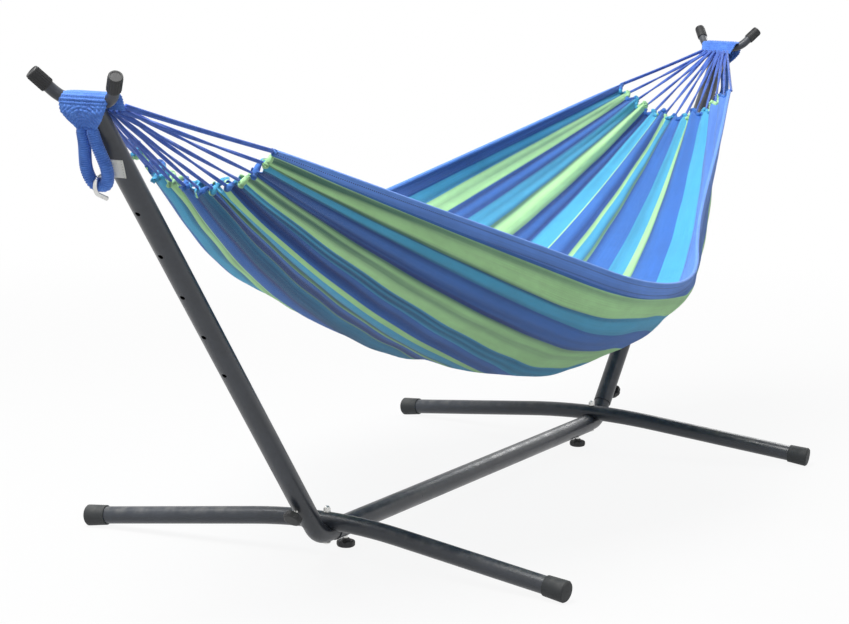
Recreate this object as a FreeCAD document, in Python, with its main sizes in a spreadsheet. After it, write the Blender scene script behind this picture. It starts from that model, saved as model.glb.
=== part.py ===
import FreeCAD, Part
import math
import os

import Sketcher
from FreeCAD import Placement, Rotation, Vector

# Hammock on stand: a two-person fabric hammock slung between the forks of a tubular steel stand.
#
# The stand lies along X with its middle over the origin, +Z is up and the floor is z = 0.  The pieces of one
# end are drawn for the +X end, called far, and are turned half round about Z for the -X end, called near.

DOC = FreeCAD.newDocument("hammock_on_stand")

# ---------------------------------------------------------------- driving dimensions, mm and degrees
DIMENSIONS = {
    # tubes: diameter and wall
    "main_tube_dia": 45.0, "main_tube_wall": 1.5, "elbow_dia": 41.0, "elbow_wall": 2.0,
    "foot_tube_dia": 38.0, "foot_tube_wall": 1.5, "fork_tube_dia": 22.0, "fork_tube_wall": 2.0,
    # centre beam and elbow
    "beam_axis_height": 53.0, "beam_end_reach": 655.0, "elbow_corner_reach": 716.0,
    "elbow_bend_radius": 70.0, "elbow_beam_leg": 156.0, "elbow_mast_leg": 160.0, "mast_lean": 40.5,
    "beam_knob_reach": 600.0,
    # cross foot: a shallow arch whose plane leans towards the middle of the stand
    "foot_centre_reach": 682.0, "foot_centre_height": 79.0, "foot_half_length": 576.0,
    "foot_bend_radius": 1170.0, "foot_slope": 8.57, "foot_splay": 39.3,
    "foot_cap_dia": 46.0, "foot_cap_mouth_dia": 43.6, "foot_cap_length": 50.0, "foot_cap_floor": 4.0,
    # mast, measured from the elbow's corner along the mast's axis
    "mast_start": 55.0, "fork_bar_along": 1245.0, "fork_seat_depth": 4.0, "mast_knob_along": 114.0,
    "hook_hole_first": 542.0, "hook_hole_pitch": 112.0, "hook_hole_count": 6.0, "hook_hole_dia": 10.5,
    # fork
    "fork_corner_half": 49.5, "fork_bend_radius": 50.0, "fork_bend_angle": 60.0, "fork_arm_length": 75.0,
    "fork_cap_dia": 26.0, "fork_cap_length": 38.0, "fork_cap_floor": 3.0, "fork_cap_ribs": 20.0,
    # knobs, bolts and nuts, measured from the axis of the tube that the bolt enters
    "knob_dia": 40.0, "knob_thickness": 15.0, "knob_stand_off": 34.0, "knob_scallop_dia": 18.0,
    "knob_scallops": 7.0, "bolt_dia": 8.0, "bolt_hole_dia": 9.0, "nut_bore_dia": 8.1, "nut_flats": 13.0,
    "nut_thickness": 6.5, "nut_seat": 16.9, "washer_dia": 16.0, "washer_thickness": 1.6,
    # loop hook, hanging loop, tag and clew band
    "hook_rod_dia": 8.0, "hook_inner_bend": 6.0, "hook_outer_bend": 16.5,
    "loop_strand_dia": 23.0, "loop_half_width": 29.0, "loop_root_half": 11.7, "loop_bend_radius": 26.0,
    "loop_neck_radius": 60.0,
    "band_thickness": 8.0, "band_width": 103.0, "band_bend_radius": 12.0,
    "tag_width": 31.0, "tag_drop": 34.0, "tag_thickness": 1.2,
    # hammock bed
    "bed_half_length": 1170.0, "bed_shell": 4.0, "row_half_width": 163.0, "row_height": 901.0,
    "row_drop": 80.0,
    "right_flare": 349.0, "right_drop": 347.0, "left_flare": 385.0, "left_drop": 320.0,
    "bed_bend_radius": 698.0, "side_hem_dia": 12.0, "end_hem_dia": 14.0, "side_hem_reach": 1160.0,
    # clew cords
    "cord_dia": 7.0, "cord_count": 13.0, "cord_start_reach": 1470.0, "cord_start_height": 988.0,
    "cord_start_half": 36.0, "cord_stagger": 4.0, "cord_end_reach": 1178.0,
}

dimensions = DOC.addObject("Spreadsheet::Sheet", "dimensions")
for row, (alias, value) in enumerate(DIMENSIONS.items(), start=1):
    dimensions.set("A%d" % row, alias)
    dimensions.set("B%d" % row, str(value))
    dimensions.setAlias("B%d" % row, alias)
DOC.recompute()

UPRIGHT = Rotation()
ENDS = {"near": Placement(Vector(), Rotation(Vector(0, 0, 1), 180)), "far": Placement()}
NODES = []


def dim(alias):
    """One driving dimension, read back from the sheet."""
    return float(dimensions.get(alias))


def cell(alias):
    """The sheet reference that an expression uses."""
    return "dimensions." + alias


# ---------------------------------------------------------------- sketches and features
def new_body(label, placement):
    body = DOC.addObject("PartDesign::Body", label)
    body.Label = label
    body.Placement = placement
    return body


def origin_feature(body, role):
    """An origin plane or axis of the body, such as XY_Plane or Z_Axis."""
    return [feature for feature in body.Origin.OriginFeatures if feature.Role == role][0]


def new_sketch(body, plane, offset=0.0, tilt=0.0):
    """A sketch on an origin plane, moved along the plane's normal and tilted about the sketch's own x."""
    sketch = body.newObject("Sketcher::SketchObject", body.Label + "_sketch")
    sketch.AttachmentSupport = [(origin_feature(body, plane + "_Plane"), "")]
    sketch.MapMode = "FlatFace"
    sketch.AttachmentOffset = Placement(Vector(0, 0, offset), Rotation(Vector(1, 0, 0), tilt))
    return sketch


def add_circle(sketch, diameter, centre=(0.0, 0.0)):
    """A circle whose diameter is an expression of the sheet."""
    circle = Part.Circle(Vector(centre[0], centre[1], 0), Vector(0, 0, 1), 1.0)
    index = sketch.addGeometry(circle)
    number = sketch.addConstraint(Sketcher.Constraint("Diameter", index, 2.0))
    sketch.setExpression("Constraints[%d]" % number, diameter)


def ring_sketch(body, plane, tube, offset=0.0):
    """The section of a tube whose sizes are the cells TUBE_dia and TUBE_wall."""
    sketch = new_sketch(body, plane, offset)
    add_circle(sketch, cell(tube + "_dia"))
    add_circle(sketch, "%s - 2 * %s" % (cell(tube + "_dia"), cell(tube + "_wall")))
    return sketch


def outline_sketch(body, plane, points, offset=0.0):
    """A closed outline of straight edges."""
    sketch = new_sketch(body, plane, offset)
    for start, stop in zip(points, points[1:] + points[:1]):
        sketch.addGeometry(Part.LineSegment(Vector(*start, 0), Vector(*stop, 0)))
    return sketch


def bend_centre(before, corner, after, radius):
    """Centre of the arc that is tangent to both runs of a corner."""
    inward = (before - corner).normalize()
    outward = (after - corner).normalize()
    half = inward.getAngle(outward) / 2
    return corner + (inward + outward).normalize() * (radius / math.sin(half))


def flat_arc(centre, start, stop, radius):
    """The shorter arc from start to stop about centre, as sketch geometry."""
    first = math.atan2(start.y - centre.y, start.x - centre.x)
    last = math.atan2(stop.y - centre.y, stop.x - centre.x)
    if (last - first) % (2 * math.pi) > math.pi:
        first, last = last, first
    if last < first:
        last += 2 * math.pi
    return Part.ArcOfCircle(Part.Circle(centre, Vector(0, 0, 1), radius), first, last)


def rounded_run(corners, radii, shift=0.0):
    """Runs through the corners joined by tangent arcs; shift moves the whole run to its left."""
    points = [Vector(x, y, 0) for x, y in corners]
    edges = []

    def beside(point, towards):
        return point + Vector(-towards.y, towards.x, 0) * shift

    start = points[0]
    for before, corner, after, radius in zip(points, points[1:], points[2:], radii):
        ahead = (corner - before).normalize()
        away = (after - corner).normalize()
        centre = bend_centre(before, corner, after, radius)
        tangent = radius * math.tan(ahead.getAngle(away) / 2)
        turns_left = ahead.x * away.y - ahead.y * away.x > 0
        arc_start = corner - ahead * tangent
        arc_stop = corner + away * tangent
        if (arc_start - start).Length > 0.001:
            edges.append(Part.LineSegment(beside(start, ahead), beside(arc_start, ahead)))
        edges.append(flat_arc(centre, beside(arc_start, ahead), beside(arc_stop, away),
                              radius - shift if turns_left else radius + shift))
        start = arc_stop
    away = (points[-1] - points[-2]).normalize()
    if (points[-1] - start).Length > 0.001:
        edges.append(Part.LineSegment(beside(start, away), beside(points[-1], away)))
    return edges


def run_sketch(body, plane, corners, radii, tilt=0.0):
    """A pipe's path as an open sketch."""
    sketch = new_sketch(body, plane, tilt=tilt)
    for edge in rounded_run(corners, radii):
        sketch.addGeometry(edge)
    return sketch


def ribbon_sketch(body, plane, corners, radii, thickness):
    """The closed outline of a ribbon seen from its edge, half its thickness either side of the run."""
    sketch = new_sketch(body, plane)
    for shift in (thickness / 2, -thickness / 2):
        for edge in rounded_run(corners, radii, shift):
            sketch.addGeometry(edge)
    for tip, neighbour in ((corners[0], corners[1]), (corners[-1], corners[-2])):
        across = Vector(neighbour[1] - tip[1], tip[0] - neighbour[0], 0).normalize() * (thickness / 2)
        middle = Vector(tip[0], tip[1], 0)
        sketch.addGeometry(Part.LineSegment(middle - across, middle + across))
    return sketch


def add_pad(body, sketch, length, symmetric=False):
    """A pad along the sketch's normal; its length is an expression of the sheet."""
    pad = body.newObject("PartDesign::Pad", body.Label + "_pad")
    pad.Profile = sketch
    pad.SideType = "Symmetric" if symmetric else "One side"
    pad.setExpression("Length", length)
    return pad


def add_pipe(body, profile, path):
    pipe = body.newObject("PartDesign::AdditivePipe", body.Label + "_pipe")
    pipe.Profile = profile
    pipe.Spine = path
    return pipe


def add_mirror(body, feature, plane):
    """The feature together with its image across one of the body's origin planes."""
    mirror = body.newObject("PartDesign::Mirrored", body.Label + "_mirror")
    mirror.Originals = [feature]
    mirror.MirrorPlane = (origin_feature(body, plane + "_Plane"), [""])
    body.Tip = mirror


def add_revolution(body, points):
    """An outline of (radius, height) points turned about the body's Z axis."""
    revolution = body.newObject("PartDesign::Revolution", body.Label + "_revolution")
    revolution.Profile = outline_sketch(body, "XZ", points)
    revolution.ReferenceAxis = (origin_feature(body, "Z_Axis"), [""])
    revolution.Angle = 360
    return revolution


def add_pocket(body, sketch, depth, forward=False, symmetric=False):
    """A pocket against (or, forward, along) the sketch's normal, refused if it removes nothing."""
    DOC.recompute()
    volume_before = body.Shape.Volume
    pocket = body.newObject("PartDesign::Pocket", body.Label + "_pocket")
    pocket.Profile = sketch
    pocket.Length = depth
    pocket.Reversed = forward
    pocket.SideType = "Symmetric" if symmetric else "One side"
    DOC.recompute()
    if body.Shape.Volume > volume_before - 0.5:
        raise ValueError("a pocket in %s removes nothing" % body.Label)
    return pocket


def add_hole(body, plane, diameter, centre=(0.0, 0.0), tilt=0.0, depth=45.0, forward=False, symmetric=False):
    """A round hole drilled from an origin plane."""
    sketch = new_sketch(body, plane, tilt=tilt)
    add_circle(sketch, diameter, centre)
    return add_pocket(body, sketch, depth, forward, symmetric)


def add_polar_pattern(body, feature, count):
    """Equal copies of the feature round the body's Z axis."""
    pattern = body.newObject("PartDesign::PolarPattern", body.Label + "_pattern")
    pattern.Originals = [feature]
    pattern.Axis = (origin_feature(body, "Z_Axis"), [""])
    pattern.Angle = 360
    pattern.setExpression("Occurrences", count)
    body.Tip = pattern


def mirror_copy(source, label):
    """A second solid, the image of the source across the stand's long middle plane."""
    copy = DOC.addObject("Part::Mirroring", label)
    copy.Source = source
    copy.Normal = Vector(0, 1, 0)
    copy.Label = label
    return copy


def group(label, solids):
    """Separate solids that share one node."""
    compound = DOC.addObject("Part::Compound", label)
    compound.Label = label
    compound.Links = solids
    return compound


def node(label, thing):
    """Names a finished sub-part and keeps it for writing."""
    thing.Label = label
    NODES.append(thing)


# ---------------------------------------------------------------- frames of the far end
ELBOW_CORNER = Vector(dim("elbow_corner_reach"), 0, dim("beam_axis_height"))
FOOT_CENTRE = Vector(dim("foot_centre_reach"), 0, dim("foot_centre_height"))
MAST_FRAME = Placement(ELBOW_CORNER, Rotation(Vector(0, 1, 0), dim("mast_lean")))
FORK_BAR = MAST_FRAME.multVec(Vector(0, 0, dim("fork_bar_along")))
HOOK_HOLE_ALONG = dim("hook_hole_first") + dim("hook_hole_pitch") * (dim("hook_hole_count") - 1)
HOOK_FRAME = MAST_FRAME * Placement(Vector(0, 0, HOOK_HOLE_ALONG), UPRIGHT)
KNOB_FRAMES = {
    "beam": Placement(Vector(dim("beam_knob_reach"), 0, dim("beam_axis_height")),
                      Rotation(Vector(1, 0, 0), 180)),
    "mast": MAST_FRAME * Placement(Vector(0, 0, dim("mast_knob_along")),
                                   Rotation(Vector(0, 1, 0), 90)),
}

# The hook's path in the mast's plane, about the hole that it hangs in: up inside the mast, out through the
# hole, round the loop and back.  The loop's lowest strand lies in the hook's outer bend.
HOOK_PATH = [(13.2, 16.6), (13.2, -5.4), (112.3, 51.0), (70.0, -23.1)]
CROOK = bend_centre(*[Vector(x, y, 0) for x, y in HOOK_PATH[1:]], dim("hook_outer_bend"))
LOOP_BOTTOM = HOOK_FRAME.multVec(Vector(CROOK.x, 0, CROOK.y))

# The clew band's run seen along Y, about the fork's bar: from the cords, over the mast's rim and the bar, and
# down outside the mast to the loop.
BAND_PATH = [(-49.5, -14.7), (-25.0, 14.5), (14.5, 15.8), (18.5, -18.0), (3.0, -48.0)]
LOOP_ROOT = FORK_BAR + Vector(BAND_PATH[-1][0], 0, BAND_PATH[-1][1])


def arch_run():
    """Half a cross foot in the plane of its arch: half of the middle bend and one straight arm."""
    slope = math.radians(dim("foot_slope"))
    tangent = dim("foot_bend_radius") * math.tan(slope / 2)
    reach = dim("foot_half_length")
    return [(0.0, 0.0), (tangent, 0.0), (reach, -(reach - tangent) * math.tan(slope))]


def foot_arm():
    """End point and direction of a foot's +Y arm, from the foot's centre."""
    plane = Rotation(Vector(0, 1, 0), -dim("foot_splay"))
    corner, tip = [plane.multVec(Vector(0, y, z)) for y, z in arch_run()[1:]]
    return tip, (tip - corner).normalize()


# ---------------------------------------------------------------- the stand
def centre_beam():
    beam = new_body("centre_beam", Placement(Vector(0, 0, dim("beam_axis_height")), UPRIGHT))
    add_pad(beam, ring_sketch(beam, "YZ", "main_tube"), "2 * " + cell("beam_end_reach"), symmetric=True)
    for side in (-1, 1):
        add_hole(beam, "XY", cell("bolt_hole_dia"), (side * dim("beam_knob_reach"), 0.0))
    return beam


def elbow(label, frame):
    """The bent tube inside the beam and the mast; the cross foot sits in a saddle cut across its crook."""
    body = new_body(label, frame * Placement(ELBOW_CORNER, UPRIGHT))
    lean = math.radians(dim("mast_lean"))
    corners = [(-dim("elbow_beam_leg"), 0.0), (0.0, 0.0),
               (dim("elbow_mast_leg") * math.sin(lean), dim("elbow_mast_leg") * math.cos(lean))]
    ring = ring_sketch(body, "YZ", "elbow", offset=-dim("elbow_beam_leg"))
    add_pipe(body, ring, run_sketch(body, "XZ", corners, [dim("elbow_bend_radius")]))
    foot = FOOT_CENTRE - ELBOW_CORNER
    add_hole(body, "XZ", cell("foot_tube_dia"), (foot.x, foot.z), symmetric=True, depth=60.0)
    add_hole(body, "XY", cell("bolt_hole_dia"), (foot.x, 0.0))
    add_hole(body, "XY", cell("bolt_hole_dia"), (dim("beam_knob_reach") - ELBOW_CORNER.x, 0.0))
    add_hole(body, "YZ", cell("bolt_hole_dia"), (0.0, dim("mast_knob_along")), tilt=dim("mast_lean"),
             forward=True)
    return body


def foot_tube(label, frame):
    """An arched cross tube, bored upright through its middle for the foot bolt."""
    body = new_body(label, frame * Placement(FOOT_CENTRE, UPRIGHT))
    arch = run_sketch(body, "YZ", arch_run(), [dim("foot_bend_radius")], tilt=-dim("foot_splay"))
    pipe = add_pipe(body, ring_sketch(body, "XZ", "foot_tube"), arch)
    add_mirror(body, pipe, "XZ")
    add_hole(body, "XY", cell("bolt_hole_dia"), symmetric=True)
    return body


def foot_caps(label, frame):
    """Two rubber caps with chamfered, slightly domed ends and a small flat where they stand on the floor."""
    tip, direction = foot_arm()
    cap = new_body(label + "_cap", frame * Placement(FOOT_CENTRE + tip, Rotation(Vector(0, 0, 1), direction)))
    bore = dim("foot_tube_dia") / 2
    outer = dim("foot_cap_dia") / 2
    mouth = dim("foot_cap_mouth_dia") / 2
    depth = dim("foot_cap_floor") - dim("foot_cap_length")
    floor = dim("foot_cap_floor")
    add_revolution(cap, [(0, 0), (bore, 0), (bore, depth), (mouth - 1, depth), (mouth, depth + 1),
                         (outer, -8), (outer, 0), (outer - 2.6, floor - 1), (0, floor)])
    ground = DOC.addObject("Part::Box", label + "_ground")
    ground.Length = ground.Width = 2400
    ground.Height = 50
    ground.Placement = Placement(Vector(-1200, -1200, -50), UPRIGHT)
    standing = DOC.addObject("Part::Cut", label + "_standing")
    standing.Base = cap
    standing.Tool = ground
    return group(label, [standing, mirror_copy(standing, label + "_opposite")])


def mast(label, frame):
    """A leaning tube with a knob hole, a row of hook holes and a seat for the fork's bar."""
    body = new_body(label, frame * MAST_FRAME)
    length = "%s - %s / 2 + %s - %s" % tuple(
        cell(alias) for alias in ("fork_bar_along", "fork_tube_dia", "fork_seat_depth", "mast_start"))
    add_pad(body, ring_sketch(body, "XY", "main_tube", offset=dim("mast_start")), length)
    add_hole(body, "XZ", cell("fork_tube_dia"), (0.0, dim("fork_bar_along")), symmetric=True, depth=60.0)
    add_hole(body, "YZ", cell("bolt_hole_dia"), (0.0, dim("mast_knob_along")), forward=True)
    hole = add_hole(body, "YZ", cell("hook_hole_dia"), (0.0, dim("hook_hole_first")), forward=True)
    pattern = body.newObject("PartDesign::LinearPattern", label + "_holes")
    pattern.Originals = [hole]
    pattern.Direction = (origin_feature(body, "Z_Axis"), [""])
    pattern.setExpression("Length", "%s * (%s - 1)" % (cell("hook_hole_pitch"), cell("hook_hole_count")))
    pattern.setExpression("Occurrences", cell("hook_hole_count"))
    body.Tip = pattern
    return body


def fork(label, frame):
    """A tube bent at both ends into two short arms, which keep the clew band on its bar."""
    body = new_body(label, frame * MAST_FRAME * Placement(Vector(0, 0, dim("fork_bar_along")), UPRIGHT))
    pipe = add_pipe(body, ring_sketch(body, "XZ", "fork_tube"),
                    run_sketch(body, "YZ", fork_run(), [dim("fork_bend_radius")]))
    add_mirror(body, pipe, "XZ")
    return body


def fork_run():
    """Half of the fork: half of its bar, the bend and one arm."""
    angle = math.radians(dim("fork_bend_angle"))
    corner = dim("fork_corner_half")
    arm = dim("fork_arm_length")
    return [(0.0, 0.0), (corner, 0.0), (corner + arm * math.cos(angle), arm * math.sin(angle))]


def fork_caps(label, frame):
    """Two ribbed plastic caps on the fork's arms."""
    tip_y, tip_z = fork_run()[-1]
    seat = Placement(Vector(0, tip_y, dim("fork_bar_along") + tip_z),
                     Rotation(Vector(1, 0, 0), dim("fork_bend_angle") - 90))
    cap = new_body(label + "_cap", frame * MAST_FRAME * seat)
    bore = dim("fork_tube_dia") / 2
    outer = dim("fork_cap_dia") / 2
    floor = dim("fork_cap_floor")
    mouth = floor - dim("fork_cap_length")
    add_revolution(cap, [(0, 0), (bore, 0), (bore, mouth), (outer, mouth), (outer, floor - 1.2),
                         (outer - 1.2, floor), (outer - 3.4, floor), (outer - 3.9, floor - 0.8),
                         (0, floor - 0.8)])
    rib = outline_sketch(cap, "XY", [(outer - 0.5, -0.8), (outer + 0.7, -0.4), (outer + 0.7, 0.4),
                                     (outer - 0.5, 0.8)], offset=mouth + 1)
    ribs = add_pad(cap, rib, "%s - 5" % cell("fork_cap_length"))
    add_polar_pattern(cap, ribs, cell("fork_cap_ribs"))
    return group(label, [cap, mirror_copy(cap, label + "_opposite")])


# ---------------------------------------------------------------- knobs, bolts and nuts
def knob(label, seat):
    """A scalloped hand knob; its own Z runs outwards along the bolt, from the tube's axis."""
    body = new_body(label, seat)
    outer = dim("knob_dia") / 2
    low = dim("knob_stand_off")
    high = low + dim("knob_thickness")
    bolt = dim("bolt_dia") / 2
    socket = low + 2 * dim("knob_thickness") / 3
    add_revolution(body, [(bolt, low - 4), (8, low - 4), (9, low), (outer - 4, low),
                          (outer - 1, low + 1.5), (outer, low + 4), (outer, high - 5),
                          (outer - 1.5, high - 2), (outer - 5, high - 0.4), (0, high), (0, socket),
                          (bolt, socket)])
    scallop = new_sketch(body, "XY", offset=high + 1)
    add_circle(scallop, cell("knob_scallop_dia"), (outer + 6.2, 0.0))
    cut = add_pocket(body, scallop, dim("knob_thickness") + 2)
    add_polar_pattern(body, cut, cell("knob_scallops"))
    return body


def knob_bolt(label, seat):
    """The threaded stud moulded into a knob, long enough to pass its weld nut."""
    body = new_body(label, seat)
    radius = dim("bolt_dia") / 2
    start = dim("nut_seat") - dim("nut_thickness") - 4
    stop = dim("knob_stand_off") + 2 * dim("knob_thickness") / 3
    add_revolution(body, [(0, start), (radius - 1, start), (radius, start + 1), (radius, stop), (0, stop)])
    return body


def weld_nuts(label, frame):
    """Hexagon nuts welded inside the elbow, one behind each knob."""
    nuts = []
    for place, seat in KNOB_FRAMES.items():
        nut = new_body("%s_%s" % (label, place), frame * seat)
        sketch = hexagon_sketch(nut, dim("nut_seat") - dim("nut_thickness"))
        add_circle(sketch, cell("nut_bore_dia"))
        add_pad(nut, sketch, cell("nut_thickness"))
        nuts.append(nut)
    return group(label, nuts)


def hexagon_sketch(body, offset):
    """A hexagon of the nuts' width across flats."""
    radius = dim("nut_flats") / math.sqrt(3)
    turns = [math.pi * corner / 3 for corner in range(6)]
    return outline_sketch(body, "XY", [(radius * math.cos(turn), radius * math.sin(turn)) for turn in turns],
                          offset)


def foot_bolt(label, frame):
    """A round-headed bolt that pins the cross foot down into the elbow's saddle."""
    body = new_body(label, frame * Placement(Vector(FOOT_CENTRE.x, 0, 0), UPRIGHT))
    radius = dim("bolt_dia") / 2
    elbow_under = dim("beam_axis_height") - dim("elbow_dia") / 2
    foot_top = dim("foot_centre_height") + dim("foot_tube_dia") / 2
    add_revolution(body, [(0, elbow_under - 4.4), (4, elbow_under - 4.2), (7.4, elbow_under - 2.6),
                          (9, elbow_under), (radius, elbow_under), (radius, foot_top + 9), (0, foot_top + 9)])
    return body


def cap_nut(label, frame):
    """A domed nut on the foot bolt, over a flat washer."""
    foot_top = dim("foot_centre_height") + dim("foot_tube_dia") / 2
    body = new_body(label, frame * Placement(Vector(FOOT_CENTRE.x, 0, foot_top), UPRIGHT))
    radius = dim("bolt_dia") / 2
    washer = dim("washer_thickness")
    nut = add_pad(body, hexagon_sketch(body, washer), cell("nut_thickness"))
    nut.Label = label + "_flats"
    top = washer + dim("nut_thickness")
    add_revolution(body, [(radius, 0), (dim("washer_dia") / 2, 0), (dim("washer_dia") / 2, washer),
                          (6, washer), (6, top), (5.6, top + 2), (3.5, top + 4.4), (0, top + 5), (0, 9),
                          (radius, 9)])
    add_hole(body, "XY", cell("bolt_dia"), depth=9.0, forward=True)
    return body


# ---------------------------------------------------------------- what hangs the hammock
def loop_hook(label, frame):
    """A bent rod: its short leg stands inside the mast and its crook carries the hanging loop."""
    body = new_body(label, frame * HOOK_FRAME)
    rod = new_sketch(body, "XY", offset=HOOK_PATH[0][1])
    add_circle(rod, cell("hook_rod_dia"), (HOOK_PATH[0][0], 0.0))
    path = run_sketch(body, "XZ", HOOK_PATH, [dim("hook_inner_bend"), dim("hook_outer_bend")])
    add_pipe(body, rod, path)
    return body


def band(label, frame):
    """The crocheted clew band over the fork's bar, tapering to the loop outside and to the cords inside."""
    body = new_body(label, frame * Placement(FORK_BAR, UPRIGHT))
    bends = [dim("band_bend_radius")] * (len(BAND_PATH) - 2)
    strip = ribbon_sketch(body, "XZ", BAND_PATH, bends, dim("band_thickness"))
    add_pad(body, strip, cell("band_width"), symmetric=True)
    edge = dim("band_width") / 2
    foot = BAND_PATH[-1][1] - dim("band_thickness")
    root = 2 * dim("loop_root_half") - 1.5
    clear = edge + 10
    for side in (-1, 1):
        outer_taper = [(edge + 0.5, -6.0), (edge - 10, -31.0), (root, -46.0), (root, foot), (clear, foot),
                       (clear, -6.0)]
        cut = outline_sketch(body, "YZ", [(side * y, z) for y, z in outer_taper])
        add_pocket(body, cut, 60.0, forward=True)
        inner_taper = [(edge + 0.5, 6.0), (dim("cord_start_half") + 6, -30.0), (clear, -30.0), (clear, 6.0)]
        cut = outline_sketch(body, "YZ", [(side * y, z) for y, z in inner_taper], offset=-15.0)
        add_pocket(body, cut, 60.0)
    return body


def loop_frame():
    """The hanging loop's own plane: origin at the band, Z up the loop and Y across it."""
    up = LOOP_ROOT - LOOP_BOTTOM
    return Placement(LOOP_ROOT, Rotation(Vector(0, 1, 0), math.degrees(math.atan2(up.x, up.z)))), up.Length


def loop(label, frame):
    """The eye of cord-wrapped strands that goes over the loop hook."""
    plane, drop = loop_frame()
    body = new_body(label, frame * plane)
    half = dim("loop_half_width")
    corners = [(0.0, -drop), (half, -drop), (half - 2, -drop * 0.45), (dim("loop_root_half"), 0.0)]
    strand = new_sketch(body, "XZ")
    add_circle(strand, cell("loop_strand_dia"), (0.0, -drop))
    path = run_sketch(body, "YZ", corners, [dim("loop_bend_radius"), dim("loop_neck_radius")])
    pipe = add_pipe(body, strand, path)
    add_mirror(body, pipe, "XZ")
    return body


# The tag's lower corner: how far it stands to the side and how far down the loop, as a share of its drop.
TAG_ACROSS = 20.0
TAG_FALL = 0.82


def tag(label, frame):
    """A small blank cloth tag behind one strand of the loop."""
    plane, drop = loop_frame()
    behind = -dim("loop_strand_dia") / 2 - dim("tag_thickness")
    seat = plane * Placement(Vector(behind, TAG_ACROSS, -TAG_FALL * drop), UPRIGHT)
    flap = DOC.addObject("Part::Box", label)
    flap.setExpression("Length", cell("tag_thickness"))
    flap.setExpression("Width", cell("tag_width"))
    flap.setExpression("Height", cell("tag_drop"))
    flap.Placement = frame * seat
    return flap


# ---------------------------------------------------------------- the hammock
def slope_of(depth, reach, radius):
    """Slope of the straight arms of a V of the given depth whose point is rounded to the radius."""
    low, high = 0.0, math.pi / 3
    for _ in range(50):
        slope = (low + high) / 2
        reached = radius * (1 - math.cos(slope)) + (reach - radius * math.sin(slope)) * math.tan(slope)
        low, high = (slope, high) if reached < depth else (low, slope)
    return low


def fall(x, depth, radius):
    """How far the rounded V lies below its ends at x, as a share of its depth."""
    reach = dim("bed_half_length")
    slope = slope_of(depth, reach, radius)
    if abs(x) > radius * math.sin(slope):
        return (reach - abs(x)) * math.tan(slope) / depth
    return (depth - radius + math.sqrt(radius ** 2 - x ** 2)) / depth


def rim_depth(side):
    return math.hypot(dim(side + "_flare"), dim(side + "_drop"))


def rim_point(side, x):
    """A point of a rim, as its distance from the middle plane and its height."""
    share = fall(x, rim_depth(side), dim("bed_bend_radius"))
    across = dim("row_half_width") + dim(side + "_flare") * share
    return across, dim("row_height") - dim(side + "_drop") * share


# Sections of the bed from its middle to an end, and points across a section, as shares.
BED_STATIONS = (0.0, 0.08, 0.16, 0.25, 0.40, 0.57, 0.78, 1.0)
BED_SHARES = (0.0, 0.05, 0.12, 0.21, 0.32, 0.44, 0.56, 0.68, 0.79, 0.88, 0.95, 1.0)

# How far a section's two inner poles stand in from its rims, as shares of its width, and down from them in
# mm: at the ends, at the middle, and the belly that swells between the two.
RIGHT_POLE = {"in": (0.254, 0.294, -0.303), "down": (106.0, 463.0, 79.0)}
LEFT_POLE = {"in": (0.254, 0.340, -0.327), "down": (106.0, 172.0, 101.0)}


def section_poles(x):
    """The four poles of the bed's Bezier section at x, as (y, z), from the right rim to the left."""
    share = fall(x, rim_depth("right"), dim("bed_bend_radius"))
    swell = 4 * share * (1 - share)
    right_y, right_z = rim_point("right", x)
    left_y, left_z = rim_point("left", x)
    width = right_y + left_y

    def blend(law):
        end, middle, belly = law
        return end + (middle - end) * share + belly * swell

    return [Vector(x, -right_y, right_z),
            Vector(x, -right_y + blend(RIGHT_POLE["in"]) * width, right_z - blend(RIGHT_POLE["down"])),
            Vector(x, left_y - blend(LEFT_POLE["in"]) * width, left_z - blend(LEFT_POLE["down"])),
            Vector(x, left_y, left_z)]


def inset_points(poles, thickness):
    """The section's points moved inwards, so that its runs stay parallel."""
    offsets = []
    for start, stop in zip(poles, poles[1:]):
        along = (stop - start).normalize()
        offsets.append(Vector(0, -along.z, along.y) * thickness)
    moved = [poles[0] + offsets[0]]
    for pole, before, after in zip(poles[1:], offsets, offsets[1:]):
        moved.append(pole + (before + after) * (thickness ** 2 / (thickness ** 2 + before.dot(after))))
    moved.append(poles[-1] + offsets[-1])
    return moved


def section_points(x):
    """Points along the bed's section at x, closer together where it bends."""
    curve = Part.BezierCurve()
    curve.setPoles(section_poles(x))
    return [curve.value(share) for share in BED_SHARES]


def hammock_bed(label):
    """A skin lofted through sections of the sling, open above and at both ends."""
    reach = dim("bed_half_length")
    stations = [-reach * share for share in BED_STATIONS[:0:-1]] + [reach * share for share in BED_STATIONS]
    wires = []
    for x in stations:
        outer = section_points(x)
        inner = inset_points(outer, dim("bed_shell"))
        wires.append(Part.makePolygon(outer + inner[::-1] + outer[:1]))
    bed = DOC.addObject("Part::Feature", label)
    bed.Shape = Part.makeLoft(wires, True, True)
    return bed


def side_hems(label):
    """The rolled hem along each rim: straight runs that meet in one bend at the middle of the bed."""
    hems = []
    for side, sign in (("right", -1), ("left", 1)):
        flare, drop = dim(side + "_flare"), dim(side + "_drop")
        depth = rim_depth(side)
        seat = Placement(Vector(0, sign * dim("row_half_width"), dim("row_height")),
                         Rotation(Vector(1, 0, 0), sign * math.degrees(math.atan2(flare, drop))))
        body = new_body("%s_%s" % (label, side), seat)
        slope = slope_of(depth, dim("bed_half_length"), dim("bed_bend_radius"))
        tangent = dim("bed_bend_radius") * math.tan(slope / 2)
        reach = dim("side_hem_reach")
        corners = [(0.0, -depth), (tangent, -depth), (reach, -depth + (reach - tangent) * math.tan(slope))]
        roll = new_sketch(body, "YZ")
        add_circle(roll, cell("side_hem_dia"), (0.0, -depth))
        pipe = add_pipe(body, roll, run_sketch(body, "XZ", corners, [dim("bed_bend_radius")]))
        add_mirror(body, pipe, "YZ")
        hems.append(body)
    return group(label, hems)


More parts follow.
